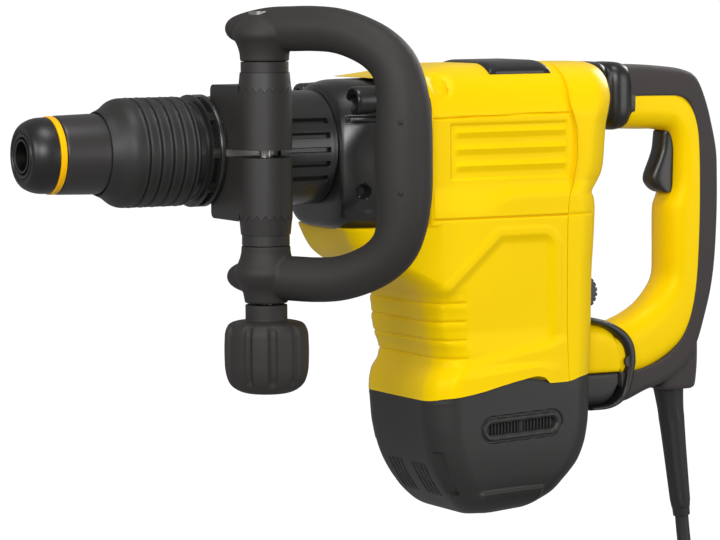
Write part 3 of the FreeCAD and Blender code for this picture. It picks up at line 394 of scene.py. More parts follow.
class Finishes:
    """The hammer's materials, made once and found by name."""

    made = {}

    @classmethod
    def get(cls, name):
        if not cls.made:
            cls.build()
        return cls.made[name]

    @classmethod
    def build(cls):
        moulded, machined = moulded_group(), machined_group()
        colours = bpy.context.scene.hammer_colours

        def plastic(name, colour, rough, grain, depth, shade=0.06, spread=0.1, **more):
            values = {"Colour": (*colour[:3], 1), "Shade": shade, "Roughness": rough, "Spread": spread,
                      "Grain": grain, "Depth": depth}
            cls.made[name] = surface(name, moulded, values, **more)

        def metal(name, colour, rough, stretch, depth=0.15):
            values = {"Colour": colour, "Roughness": rough, "Stretch": stretch, "Depth": depth}
            cls.made[name] = surface(name, machined, values, metallic=1.0)

        plastic("Yellow shell", colours.shell, 0.36, 2600, 0.10, shade=0.035, specular=0.42,
                tint=(1, 0.72, 0.08))
        plastic("Yellow ring", colours.ring, 0.34, 2600, 0.05, shade=0.03, tint=(1, 0.72, 0.08))
        plastic("Black gear plastic", tone(30, 29, 28), 0.27, 2200, 0.12, spread=0.16, specular=0.6)
        plastic("Black motor plastic", tone(40, 39, 38), 0.46, 1900, 0.30, specular=0.45)
        plastic("Warm grey grip", colours.grip, 0.60, 1700, 0.45, spread=0.08, specular=0.35)
        plastic("Clamp plastic", tone(41, 39, 38), 0.48, 1700, 0.35, spread=0.12, specular=0.5)
        plastic("Soft handle grip", tone(58, 54, 53), 0.66, 1500, 0.45, specular=0.3, sheen=0.08)
        plastic("Fluted rubber", tone(33, 32, 31), 0.50, 2000, 0.20, specular=0.5)
        plastic("Cap rubber", tone(22, 21, 21), 0.36, 2300, 0.12, specular=0.5)
        plastic("Sleeve coating", tone(40, 38, 37), 0.36, 2800, 0.10, specular=0.6)
        plastic("Seal rubber", tone(24, 24, 24), 0.34, 2500, 0.10, specular=0.5)
        plastic("Cord sheath", tone(34, 33, 33), 0.50, 2300, 0.20)
        plastic("Trigger plastic", tone(30, 29, 29), 0.33, 2400, 0.12)
        plastic("Inner plastic", tone(20, 20, 20), 0.5, 2000, 0.2)
        metal("Turned steel", tone(178, 175, 170), 0.28, (900.0, 30.0, 30.0))
        metal("Dark phosphated steel", tone(72, 70, 68), 0.42, (700.0, 50.0, 50.0))
        metal("Cast alloy", tone(196, 194, 190), 0.46, (160.0, 160.0, 160.0), 0.3)
        metal("Spring wire", tone(120, 120, 120), 0.32, (300.0, 300.0, 300.0))
        metal("Laminated core", tone(90, 86, 82), 0.5, (60.0, 60.0, 1800.0), 0.4)
        metal("Copper bars", tone(200, 122, 82), 0.3, (900.0, 900.0, 30.0))


# Chuck and barrel --------------------------------------------------------------------------------


def chuck_pieces():
    cap = [(4, 11.7, 0.2), (0.5, 11.7, 0.5), (0, 12.6, 0.4), (0, 13.9, 0.4), (1.1, 14.5, 0.5),
           (1.1, 15.6, 0.5), (0, 16.3, 0.5), (0, 18.3, 1.2), (2.4, 20.9, 2.6), (8.6, 23.5, 4),
           (16.3, 23.7, 0.5), (16.3, 15, 0.2), (4, 15, 0.2)]
    dress(make_piece("dust_cap", [turned(rounded(cap))]), "Cap rubber", "holder", "nose_rubber", "nose_cap")
    low, high = corners("sleeve_ring")
    ring = [(low[0], 22.2, 0.2), (low[0], high[2], 0.9), (high[0], high[2], 0.9), (high[0], 22.2, 0.2)]
    dress(make_piece("signal_ring", [turned(rounded(ring))]), "Yellow ring", "sleeve", "ring_yellow",
          "sleeve_ring")
    sleeve = [(16.7, 17.2, 0.2), (16.7, 22.1, 0.2), (20.9, 22.1, 0.1), (21.2, 24.1, 0.6), (22.4, 24.5, 1.5),
              (45, 25.1, 3), (62, 25.1, 0.3), (62, 17.2, 0.3)]
    dress(make_piece("locking_sleeve_skin", [turned(rounded(sleeve))]), "Sleeve coating", "sleeve",
          "sleeve_metal", "locking_sleeve")
    dress(make_piece("ribbed_collar", [turned(collar_profile(), 200)], 50), "Fluted rubber", "holder",
          "collar_rubber", "index_collar")


def collar_profile():
    """Cone, crown and five V grooves, each with a fine raised edge in front of it."""
    outside = 34.5
    profile = [(50, 25.7, 0.2), (50, 26.3, 0.5), (55.5, 28.6, 4), (61.2, 33.2, 2.2), (65.5, outside - 0.1, 3)]
    for index in range(5):
        middle = 72.2 + 8 * index
        profile += [(middle - 2.4, outside - 0.35, 0.8), (middle - 1.5, outside + 0.1, 0.5),
                    (middle - 0.9, outside - 0.2, 0.3), (middle - 0.1, outside - 1.9, 0.35),
                    (middle + 0.7, outside - 0.5, 0.4), (middle + 1.5, outside - 0.1, 0.6)]
    profile += [(107, outside - 1.3, 1.6), (107, 19.3, 0.2), (80, 19.3, 0.2), (80, 25.7, 0.2)]
    return rounded(profile, 5)


def barrel_pieces():
    def windows(along, radius, angle):
        """Nine windows round the flange drop to the barrel."""
        turn = np.abs((angle * 9 / (2 * np.pi)) % 1 - 0.5)
        hole = window(along, 114.9, 118.3, 0.25) * ramp(turn, 0.13, 0.14) * (radius > 34)
        return radius - 2.3 * hole

    along = np.concatenate([np.linspace(114.2, 119.2, 26), [120, 121]])
    crest = 35.4 - 0.5 * window(along, 119.5, 120.2, 0.2)
    outer = [(107.7, 30.6), (108.2, 31), (112.4, 31), (112.9, 31.6), (113.3, 34.4), (113.7, 35.4)]
    inner = [(122.6, 35.4), (122.9, 35.0), (122.9, 33.1), (113.8, 33.1), (113.6, 28.5), (107.7, 28.5)]
    outer += list(zip(along, crest)) + inner
    dress(make_piece("neck_flange", [turned(outer, 360, shape=windows)], 28), "Black gear plastic", "housing",
          "gear_plastic", "neck_ring")

    def slots(along, radius, angle):
        """Five slots on each side, one above another, drop inwards from the cover's skin."""
        height = np.sin(angle) * 36.6
        near = np.abs(height) < 24
        row = np.abs((height / 9.1 + 0.5) % 1 - 0.5) * 9.1
        hole = window(along, 166.0, 195.6, 0.3) * (1 - ramp(row, 1.25, 1.7)) * near * (radius > 35.5)
        return radius - 2.9 * hole

    along = lined(160.6, 200.8, 0.9, 166, 195.6)
    crest = 36.5 - 0.35 * window(along, 197.4, 197.9, 0.25)
    inner = [(201.3, 36.2), (201.4, 35.5), (201.4, 33.5), (159.8, 33.5)]
    outer = [(159.8, 35.6), (160.1, 36.2)] + list(zip(along, crest)) + inner
    dress(make_piece("cooling_cover", [turned(outer, 540, shape=slots)], 28), "Black gear plastic", "housing",
          "gear_plastic", "slotted_cover")


# Side handle -------------------------------------------------------------------------------------


def bow_point(points):
    """Points given as (reach, across, height) in the bow's own plane, turned about the post."""
    c, s = np.cos(BOW_TURN), np.sin(BOW_TURN)
    reach, across, height = points[..., 0], points[..., 1], points[..., 2]
    return np.stack([POST[0] + c * reach - s * across, POST[1] + s * reach + c * across, height], -1)


def bow_stations():
    """Half of the bow's centre line, from the heel to the middle of the grip, as (reach, height, radius)."""
    return [(-26.6, 76.4, 1.2), (-25.2, 76.6, 4.6), (-20, 77, 8), (-9, 77.3, 11), (4, 77.3, 13.2),
            (18, 77.2, 13.9), (34, 77.4, 13.9), (50, 76.2, 13.8), (65, 72, 13.9), (79, 65, 14.2),
            (89.2, 55, 14.8), (94, 42, 15.6), (95.6, 28, 16.6), (95.6, 14, 17.3), (95.6, 0, 17.45)]


def bow_piece():
    """Round bar along the bow's centre line with a flared hub at each end, fused and softened."""
    half = np.array(bow_stations(), float)
    knots = np.concatenate([half, half[-2::-1] * [1, -1, 1]])
    line = curve(knots, 260)
    slope = np.gradient(line[:, :2], axis=0)
    slope /= np.linalg.norm(slope, axis=1, keepdims=True)
    centre = np.stack([line[:, 0], 0 * line[:, 0], line[:, 1]], -1)
    normal = np.stack([-slope[:, 1], 0 * slope[:, 0], slope[:, 0]], -1) * line[:, 2:3]
    across = np.array([[0, 1.0, 0]]) * line[:, 2:3]
    parts = [loft(centre, normal, across, 2.0, 96)]
    upper = [(57.1, 4.2, 0.1), (57.1, 15.3, 0.6), (61.5, 15.3, 3), (68, 17.2, 4), (73, 20.6, 3),
             (79, 18.5, 4), (85.6, 11, 4), (86, 10.4, 0.2), (84, 10.4, 0.1), (84, 4.2, 0.1)]
    lower = [(-57.1, 4.2, 0.1), (-57.1, 15.3, 0.6), (-61.5, 15.3, 3), (-68, 17.2, 4), (-73, 20.6, 3),
             (-79, 19, 4), (-85, 14.6, 4), (-93, 13.4, 0.8), (-93, 4.2, 0.1)]
    for profile in (upper, lower):
        parts.append(turned(rounded(profile, 5), 120, "z"))
    parts = [(bow_point(points), faces) for points, faces in parts]
    piece = make_piece("bow_grip", parts)
    fuse_parts(piece, 0.9, 5)
    return dress(piece, "Warm grey grip", "bow", "grip_plastic", "bow_handle")


def bow_hole_piece():
    """Two small dark plugs on the flat of the grip."""
    outline = [(-13, 0.01, 0), (-13, 1.7, 0), (-16.5, 1.7, 0.2), (-16.5, 0.01, 0)]
    parts = [turned(rounded(outline, 3), 32, "y", (height, 101), closed=False) for height in (-21.4, 21.4)]
    parts = [(bow_point(points), faces) for points, faces in parts]
    # The near-black discs are painted shade in place of the grip's two holes.
    return dress(make_piece("bow_hole_shade_discs", parts), "Inner plastic", "bow", "grip_plastic")


def fuse_parts(piece, cell, rounds):
    """Joins overlapping closed parts into one skin with small blends between them."""
    remesh = piece.modifiers.new("Fuse", "REMESH")
    remesh.mode = "VOXEL"
    remesh.voxel_size = cell * MM
    remesh.use_smooth_shade = True
    relax = piece.modifiers.new("Relax", "SMOOTH")
    relax.factor = 0.5
    relax.iterations = rounds
    graph = bpy.context.evaluated_depsgraph_get()
    mesh = bpy.data.meshes.new_from_object(piece.evaluated_get(graph))
    piece.modifiers.clear()
    piece.data = mesh
    mesh.polygons.foreach_set("use_smooth", np.ones(len(mesh.polygons), bool))


def knob_piece():
    def flutes(along, radius, angle):
        """Ten round-bottomed flutes, deepest at mid height."""
        wave = ramp(np.cos(10 * angle), 0.15, 1.0)
        return radius - 2.6 * wave * window(along, -140, -110, 7) * (radius > 14)

    profile = [(-94, 4.2, 0.1), (-94, 13.1, 0.6), (-103.6, 13.1, 0.8), (-104.4, 19, 1), (-105.6, 23.4, 2),
               (-110.5, 26, 3), (-122, 26.5, 5), (-136, 26.1, 5), (-144.5, 23.2, 4), (-148.8, 16, 3.5),
               (-149.9, 7, 3), (-150, 0.01, 0)]
    outline = np.concatenate([rounded(profile, 7), [(-120.6, 0.01), (-120.6, 4.2)]])
    steps = np.concatenate([np.linspace(0, 1, 5)[:-1] + index for index in range(len(outline) - 1)]
                           + [[len(outline) - 1]])
    dense = np.stack([np.interp(steps, np.arange(len(outline)), outline[:, column]) for column in (0, 1)], -1)
    piece = make_piece("fluted_knob", [turned(dense, 240, "z", (POST[0], POST[1]), flutes)], 40)
    return dress(piece, "Warm grey grip", "knob", "grip_plastic", "clamp_knob")


# Shells ------------------------------------------------------------------------------------------

SHELL_HALF = 51.6  # half width of the shells' flat sides
SHOULDER = 17  # height where the flat sides end
BELT = -46.6  # height of the groove between the upper and lower side panels
GEAR_FACE = 261  # front face of the housing behind the gear nose
CHIN_TOP = -50.45  # height under which the housing reaches forward below the gear nose
WING_BOTTOM = 44.25  # height over which it reaches forward above the gear nose


def round_off(share):
    """Quarter of a superellipse: 0 at share 0 and 1 at share 1, where it stands upright."""
    return 1 - np.sqrt(np.clip(1 - share**2.3, 0, 1))


def shell_half_width(z, shoulder_height):
    """Half width of the yellow shells by height: flat sides, then a shoulder of the given height."""
    shoulder = np.clip((z - SHOULDER) / shoulder_height, 0, 1)
    curved = 50.2 - 31 * round_off(shoulder) + 1.4 * (1 - ramp(z, SHOULDER, 30))
    return np.where(z < SHOULDER, SHELL_HALF, curved)


def nose_shell_piece():
    """Gear nose: superellipse sections that swell from the round cover to the housing's front, and bosses."""
    stations = [
        # x, half width, top, bottom, power above the middle, power below it
        (201.7, 36.9, 36.9, -45, 2.0, 3.2), (202.6, 38, 38.5, -48.5, 2.05, 3.6),
        (205, 39.8, 40.5, -51, 2.2, 4.0), (213, 43, 42.6, -53.8, 2.5, 4.4),
        (222, 45.6, 43, -55.6, 3.0, 4.6), (236, 48.4, 43, -56.2, 3.6, 4.6),
        (250, 50.1, 43, -55.6, 4.2, 4.8), (261.8, 50.6, 43, -54, 4.6, 5.0),
    ]
    at, half, top, bottom, upper, lower = (curve(stations, 110)[:, column, None] for column in range(6))
    angle = np.linspace(0, 2 * np.pi, 420, endpoint=False)[None, :]
    c, s = np.cos(angle), np.sin(angle)
    power = 2 / np.where(s > 0, upper, lower)
    y = half * np.sign(c) * np.abs(c) ** power
    z = (top + bottom) / 2 + (top - bottom) / 2 * np.sign(s) * np.abs(s) ** power
    section = np.stack([at + 0 * c, y, z], -1)
    mouth = np.stack([201.8 + 0 * c, 34 * c, 34 * s], -1)
    points, faces = sheet(np.concatenate([mouth, section]), caps=False)
    x, y, z = points[..., 0], points[..., 1], points[..., 2]
    side = ramp(np.abs(y), 15, 30)
    pit = 7 * (1 - ramp(np.hypot(x - 215.5, z + 27), 3.8, 4.8))
    hollow = 2.6 * np.exp(-(((x - 226) / 13) ** 2 + ((z + 6) / 15) ** 2))
    hollow += 3.0 * np.exp(-(((x - 224) / 9) ** 2 + ((z + 38) / 5) ** 2))
    ledge = 2.2 * window(x, 210, 244, 4) * window(z, 17.5, 19.5, 1.5)
    push = (hollow + ledge + pit) * side
    points[..., 1] = y - np.sign(y) * push
    parts = [(points, faces)]
    for hand in (-1, 1):
        boss = [(216.5, 0.01, 0), (216.5, 5.2, 0.3), (211, 5.6, 0.3), (210.4, 8.2, 0.7), (212, 9.1, 1.2),
                (240, 9.6, 1), (240, 0.01, 0)]
        parts.append(turned(rounded(boss), 90, "x", (hand * 37.5, 30.5), closed=False))
        line = np.linspace((226, hand * 42, 30.5), (247, hand * 43.2, 30.5), 22)
        wide, tall = np.tile([0, -7.5, 0], (22, 1)), np.tile([0, 0, 9.2], (22, 1))
        parts.append(loft(line, wide, tall, 7, 80))
    piece = make_piece("gear_nose", parts, 30)
    return dress(piece, "Black gear plastic", "housing", "gear_plastic", "nose_shell")


def seam(z):
    """Place along X of the wavy joint between the main shell and the rear cover, by height."""
    return monotone(z, [(-160, 363), (-122, 361.6), (-57, 362), (-38, 363), (-24, 366.6), (-5, 369.6),
                        (8, 369.2), (28, 364.6), (52, 365.4)])[..., 0]


def boundary(x):
    """Height of the wavy edge between the yellow shell and the black motor cap, along X."""
    return monotone(x, [(258, -164), (262, -164), (266, -163.4), (270, -162.4), (281, -161), (295.5, -158.8),
                        (310.5, -155.5), (325.6, -152.5), (337, -150.9), (343, -152), (348, -156),
                        (361.4, -156), (373.7, -153.2), (392, -151.5)])[..., 0]


def skin_features(x, z, flat):
    """How far the shell's side stands in (positive) or out at (x, z): ribbed panel, belt and lower panel."""
    sharp = 0.45

    def line(value, at):
        """Fine groove at one place, as a bell curve."""
        return np.exp(-(((value - at) / 0.42) ** 2))

    inset = 0 * x
    top_edge = 18 + (x - 263) * 0.018
    inset += 1.5 * line(z, top_edge) * window(x, 263.5, 366.5, sharp)
    inset += 1.5 * line(x, 262.5) * window(z, -46, 18, sharp)
    pocket = window(x, 277, 362, 1.6) * window(z, -20.5, 13.2, 1.6)
    inset += 1.0 * pocket
    for middle in (7.6, -3.2, -14):
        rib = window(x, 281.5, 361, 2.2) * np.clip(1 - np.abs(z - middle - 0.9) / 3.3, 0, 1) ** 0.8
        inset -= 1.35 * rib * np.where(z > middle + 0.9, 1.0, 0.85)
    ledge = monotone(x, [(262, -45), (298, -45), (322, -35.2), (410, -34.4)])[..., 0]
    slope = ramp(-z, 24, -ledge)
    inset += 2.6 * (1 - slope) * ramp(z, -47, -46.2)
    inset += 2.2 * line(z, BELT) * (x > 255)
    beside, above = np.maximum(9 - (352.5 - x), 0), np.maximum(9 - (-58 - z), 0)
    distance = np.minimum(9 - np.hypot(beside, above), 0.66 * (x - 281) - 0.75 * (z + 85))
    sunk = 1.4 * ramp(distance, 0, 6) * ramp(z, -136, -118)
    rim = 0.45 * window(distance, -3.5, 0, 2.5) * ramp(z, -132, -112)
    inset += sunk - rim
    inset -= 1.5 * (1 - ramp(z, -149 + 0.18 * (x - 262), -141 + 0.18 * (x - 262))) * (1 - ramp(x, 345, 372))
    return inset * ramp(flat, 0.75, 0.95)


def corner_features(x, z):
    """Grip grooves round the lower front corners, and the flared lip under them."""
    inset = 0 * x
    for level in (-101, -113, -125, -137):
        drop = np.exp(-(((z - level) / 0.7) ** 2)) + 0.45 * window(z, level, level + 5, 4.5)
        inset += 0.9 * drop * (1 - ramp(x, 284, 288))
    inset -= 1.6 * (1 - ramp(z, -151, -140.5)) * (1 - ramp(x, 320, 366))
    return inset


def main_shell_piece():
    """Main yellow shell: plan loops stacked in height, with the side's features pushed into them."""
    levels = [18.2, 13.2, -20.5, -24, BELT, -101, -113, -125, -137]
    z = np.concatenate([lined(-161, 51.2, 0.9, *levels), [51.6, 51.85, 51.95]])
    half = shell_half_width(z, 35)
    front_table = [(-164, 263), (-156, 263.4), (-149, 265.2), (-142, 268.6), (-138, 268.9), (-121, 264.2),
                   (-100, 262), (-92, 255), (-84, 243), (-78, 232), (-72, 221.5), (-67, 216), (-56, 209.5),
                   (-50.5, 207.5), (-50.4, GEAR_FACE), (44.2, GEAR_FACE), (44.3, 231), (47, 230),
                   (50, 230.5), (52, 232)]
    front = monotone(z, front_table)[:, 0]
    low = z < CHIN_TOP
    front_round = np.where(low, np.interp(z, [-161, -92, -54], [20, 20, 16]),
                           np.where(z > WING_BOTTOM, 12, 3.0))
    side = np.concatenate([lined(224, GEAR_FACE, 4), lined(262, 371, 0.95, 262.5, 277)])
    points, flat = plan_loops(z, front, seam(z), half, front_round, np.full(len(z), 0.4), side, 16, 14)
    x, y, height = (points[..., index].copy() for index in range(3))
    narrow = np.where(height < CHIN_TOP, np.interp(x, [200, 215, 250, 268], [0.79, 0.84, 0.945, 1.0]), 1)
    narrow = np.where(height > WING_BOTTOM, np.interp(x, [222, 262, 290], [0.82, 0.98, 1.0]), narrow)
    y = y * narrow
    y -= np.sign(y) * skin_features(x, height, flat)
    wing = np.clip((288 - x) / 57, 0, 1) * (height > WING_BOTTOM)
    height = height - wing * (0.3 + 0.92 * (height - WING_BOTTOM))
    push = corner_features(x, height) * (height < -92)
    reach = np.hypot(x - 300, y) + 1e-6
    pushed = (x < 286) & (height < -92)
    x = x + np.where(pushed, push * (300 - x) / reach * 1.1, 0)
    y = y - np.where(pushed, push * y / reach, 0)
    y -= np.sign(y) * np.where(~pushed & (height < -138), push * ramp(flat, 0.6, 0.9), 0)
    away_from_hole = np.hypot((x - 273) / 1.25, np.abs(y) - 40)
    dish, hole = 2.4 * (1 - ramp(away_from_hole, 4.6, 8)), 5 * (1 - ramp(away_from_hole, 3.6, 4.4))
    hollow = (dish + hole) * (height > 30)
    height = height - hollow + (boundary(x) + 161) * ramp(-height, 139, 161)
    middle = np.stack([x, y, height], -1)
    centre = (middle + np.roll(middle, -1, 1))[:-1] / 2
    away = np.abs(centre - [GEAR_FACE, 0, -3])
    mouth = (away[..., 0] < 1.5) & (away[..., 1] < 32) & (away[..., 2] < 40)
    piece = make_piece("main_shell", [sheet(middle, keep=~mouth)], 30)
    return dress(piece, "Yellow shell", "housing", "yellow_plastic", "main_housing")


def rear_shell_piece():
    """Rear yellow shell behind the seam, with the notch at the belt and the step down to the lower joint."""
    levels = [-24, BELT, -33]
    z = np.concatenate([lined(-157, 51.2, 1.2, *levels), [51.45, 51.5]])
    half = shell_half_width(z, 34.6)
    rear = monotone(z, [(-157, 387.4), (-122, 388.4), (-85, 389.2), (-65, 390.6), (-42, 391.6), (-36, 390.8),
                        (-33.5, 389.6), (-31, 390.6), (-27, 393.6), (-20, 397.4), (-14, 398.6), (0, 399.4),
                        (10, 400), (20, 402), (30, 404.8), (40, 405), (48, 403.4), (51.5, 400)])[:, 0]
    rear_round = np.interp(z, [-157, -46, -24, 51], [20, 20, 21, 17])
    side = lined(360, 408, 1.3)
    points, flat = plan_loops(z, seam(z) + 0.35, rear, half, np.full(len(z), 0.5), rear_round, side, 18, 30)
    x, y, height = (points[..., index].copy() for index in range(3))
    slope = ramp(-height, 24, 34.4)
    belt = 2.6 * (1 - slope) * ramp(height, -47, -46.2)
    inset = belt + 0.9 * np.exp(-(((height - BELT) / 0.5) ** 2)) * (x < 381)
    y -= np.sign(y) * inset * ramp(flat, 0.3, 0.9)
    height = np.where(height < -140, height + (boundary(x) + 157) * ramp(-height, 139, 157), height)
    piece = make_piece("rear_cover", [sheet(np.stack([x, y, height], -1))], 30)
    return dress(piece, "Yellow shell", "housing", "yellow_plastic", "rear_shell")


def motor_cap_piece():
    """Black motor cap: plan loops that draw in towards a keel, with vent, louvres, screw channel and foot."""
    z = np.concatenate([[-246.9], lined(-246.6, -197.5, 1.05), lined(-197, -173, 0.5),
                        lined(-172.4, -150, 1.2, -157)])
    front = monotone(z, [(-247, 303), (-245.6, 298), (-243, 294), (-236, 287.5), (-224, 278.5), (-206, 269),
                         (-194, 265.4), (-180, 263), (-157, 261.8), (-145, 261.8)])[:, 0]
    rear = monotone(z, [(-247, 338), (-245.8, 345), (-243, 350.5), (-235, 361), (-218, 373.5), (-207, 380.4),
                        (-194, 384.8), (-180, 386.6), (-157, 386.9), (-145, 386.9)])[:, 0]
    half = monotone(z, [(-247, 30), (-245.5, 36), (-241, 42), (-232, 46.6), (-215, 49.6), (-195, 51),
                        (-157, 51.6), (-145, 51.4)])[:, 0]
    side = np.concatenate([lined(262, 291, 1.3), lined(292, 364, 0.55), lined(365, 392, 1.3)])
    rounds = np.interp(z, [-247, -225, -157], [14, 20, 20])
    points, flat = plan_loops(z, front, rear, half, rounds, rounds, side, 24, 34)
    x, y, height = (points[..., index].copy() for index in range(3))
    axis = vent_axis(x)
    across = np.hypot(np.maximum(np.abs(x - 327.5) - 22, 0), height - axis)
    hole, rim = 3.0 * (1 - ramp(across, 3.2, 3.8)), 1.0 * window(across, 7.3, 8.6, 0.5)
    vent = hole + rim - 0.8 * window(across, 5.0, 6.6, 0.9)
    groove = np.sqrt(np.clip(1 - ((flat - 0.5) / 0.19) ** 2, 0, 1))
    channel = 2.8 * groove * window(height, -228, -198, 0.6) * (x < 300)
    foot = 2.2 * window(x, 300, 343, 4) * (1 - ramp(height, -229.5, -226.5))
    inset = (vent - foot) * ramp(flat, 0.8, 0.97) + 0.5 * channel
    x = x + 0.87 * channel
    stripe = np.abs((np.abs(y) / 5.2) % 1 - 0.5) * 5.2
    slats = 2.4 * window(np.abs(y), 6, 26, 0.7) * (1 - ramp(stripe, 0.9, 1.3))
    slats = slats * window(height, -229, -208, 1.0) * (x < 300) * (flat < 0.4)
    x = x + slats
    y -= np.sign(y) * inset
    keel = monotone(x, [(262, 0), (272, 0.3), (283, 1.9), (313, 5.4), (345, 7.3), (392, 7.3)])[..., 0]
    height = height + ramp(height, -170, -150) * (boundary(x) + 150.4) + keel * ramp(-height, 208, 247)
    piece = make_piece("motor_cap_skin", [sheet(np.stack([x, y, height], -1))], 32)
    return dress(piece, "Black motor plastic", "housing", "motor_plastic", "motor_cap")


def vent_axis(x):
    """Height of the side vent's middle line along X."""
    return -184.6 + (x - 300) * 0.045


def vent_bars():
    """Upright slats behind each side vent, a row of thin blades with a wider one in the middle."""
    parts = []
    for hand in (-1, 1):
        for index in range(19):
            middle = 305.5 + index * 2.45
            wide = 1.5 if index == 9 else 0.45
            height = vent_axis(middle)
            centres = np.linspace((middle, hand * 48.8, height - 3.4), (middle, hand * 48.8, height + 3.4), 3)
            parts.append(loft(centres, np.tile([wide, 0, 0], (3, 1)), np.tile([0, 0.9, 0], (3, 1)), 6, 12))
    piece = make_piece("vent_slats", parts)
    return dress(piece, "Inner plastic", "housing", "motor_plastic", "inlet_grilles")


def top_cover_piece():
    """Smoked lens let into the top: a rounded plate that follows the shells' shoulder."""
    front, length, reach = 312, 46, 36.5
    u = np.linspace(0, 1, 90)[:, None]
    v = np.linspace(-1, 1, 121)[None, :]
    x = front + length * u + 0 * v
    y = v * reach + 0 * u
    drop = 34 * round_off(np.clip((np.abs(y) - 17) / 33, 0, 1))
    end = np.clip(np.minimum(u, 1 - u) * length, 0, 7) / 7
    edge = np.clip((reach - np.abs(y)) / 3.0, 0, 1)
    lift = 2.3 * np.sqrt(1 - (1 - end) ** 2) * np.sqrt(1 - (1 - edge) ** 2)
    upper = np.stack([x, y, 51.4 - drop + lift], -1)
    lower = np.stack([x, y * 0.98, 49.5 - drop], -1)
    loop = np.concatenate([upper, lower[:, ::-1]], 1)
    piece = make_piece("top_lens", [sheet(loop)], 40)
    return dress(piece, "Trigger plastic", "housing", "motor_plastic", "top_cover")


def dial_piece():
    low, high = corners("speed_dial")
    middle = (low + high) / 2
    radius = (high[0] - low[0]) / 2 - 1.6

    def teeth(along, size, angle):
        """Twenty rounded notches round the rim."""
        return size - 1.1 * ramp(np.cos(20 * angle), 0.2, 1.0) * (size > radius - 2)

    profile = [(low[1], 2.1, 0), (low[1], radius - 1.2, 0.2), (low[1] + 0.9, radius, 0.6),
               (high[1] - 0.9, radius, 0.6), (high[1], radius - 1.2, 0.2), (high[1], 2.1, 0)]
    piece = make_piece("dial_wheel", [turned(rounded(profile), 320, "y", (middle[2], middle[0]), teeth)], 40)
    return dress(piece, "Trigger plastic", "dial", "motor_plastic", "speed_dial")


# Rear handle -------------------------------------------------------------------------------------


def handle_core_piece():
    """Yellow core between the finger side and the soft back: the outer rail runs on inside the back."""
    edge = (17.3, 5.0, 2.5)
    stations = [(431, 5.6, 431, 33), (446, 5.0, 446, 33), (459, 4.6, 463, 33), (468, 2.5, 476, 28),
                (471.4, -6, 488, 16), (471.8, -20, 494, -2), (471.4, -33, 495, -22),
                (468.6, -41.5, 496, -38), (465.8, -48, 496, -50), (465.4, -62, 496, -62),
                (465.6, -80, 495, -82), (465, -94, 493.5, -103), (460, -103, 488, -122),
                (450.5, -112.5, 480, -137), (439, -119.2, 466, -148), (428, -123.4, 450, -156),
                (418, -127, 437, -159), (408, -129, 428, -160)]
    body = rails([row + edge for row in stations], 230, segments=120)
    piece = make_piece("handle_core", [body], 60)
    return dress(piece, "Yellow shell", "handle", "yellow_plastic", "handle_frame")


def handle_back_piece():
    """Soft black back: sharp where it meets the yellow core, round outside, with two sunk panels behind."""
    edge = (17.9, 3.4, 16.0)
    stations = [(431, 27.4, 431, 48.9), (446, 27.4, 446, 48.6), (460, 27.2, 464, 47.2),
                (471, 26.8, 478, 45.2), (478.6, 23.6, 487.4, 40.6), (483.4, 14.5, 494.6, 26.5),
                (486.2, 3, 500, 9), (487.2, -12, 504.4, -10), (487.6, -30, 505.3, -30),
                (487.6, -52, 505.1, -55), (486.6, -80, 503.4, -83), (484.8, -102, 500.2, -104),
                (481.4, -120, 494.6, -124), (475.8, -134, 489.4, -140), (467.6, -144, 483, -153),
                (458, -150.6, 472, -162.5), (449, -154, 460, -168), (438, -156.8, 447, -172),
                (428, -157.2, 434, -177.4), (424.5, -157.2, 427, -178.8)]
    points, faces = rails([row + edge for row in stations], 300, segments=180)
    x, y, z = points[..., 0], points[..., 1], points[..., 2]
    sunk = np.maximum(window(z, -74, 14, 1.2), window(z, -124, -84, 1.2)) * (1 - ramp(np.abs(y), 12.6, 13.8))
    outer = ramp(x, 492, 496)
    points[..., 0] = x - 0.9 * sunk * outer
    heights = curve([(-135, 485, 6, 14.6), (-144, 480.6, 11, 15.4), (-154, 477.8, 14, 15.8),
                     (-164, 476.2, 15, 15.6), (-170, 475.4, 14.9, 15.2), (-172, 475, 13.4, 13.8)], 50)
    centres = np.stack([heights[:, 1], 0 * heights[:, 0], heights[:, 0]], -1)
    boss = loft(centres, heights[:, 2:3] * [[1, 0, 0]], heights[:, 3:4] * [[0, 1, 0]], 3.2, 96)
    piece = make_piece("handle_back", [(points, faces), boss], 40)
    return dress(piece, "Soft handle grip", "handle", "grip_rubber", "handle_overmould")


def trigger_piece():
    edge = (8.3, 4.0, 3.0)
    stations = [(466.5, 3.4, 476, 3.4), (464.6, 2.6, 478, 2.0), (463.9, -3, 478, -3), (463.1, -9, 477, -9),
                (461, -15, 476, -15), (458.2, -21, 475.6, -21), (455.9, -26.6, 475.6, -26.6),
                (456, -31, 475.6, -31), (459.6, -35.4, 475.2, -35), (464.4, -38, 473, -37.4),
                (468, -38.6, 470, -38.4)]
    piece = make_piece("trigger_lever", [rails([row + edge for row in stations], 90, segments=90)], 50)
    return dress(piece, "Trigger plastic", "switch_trigger", "motor_plastic", "trigger")


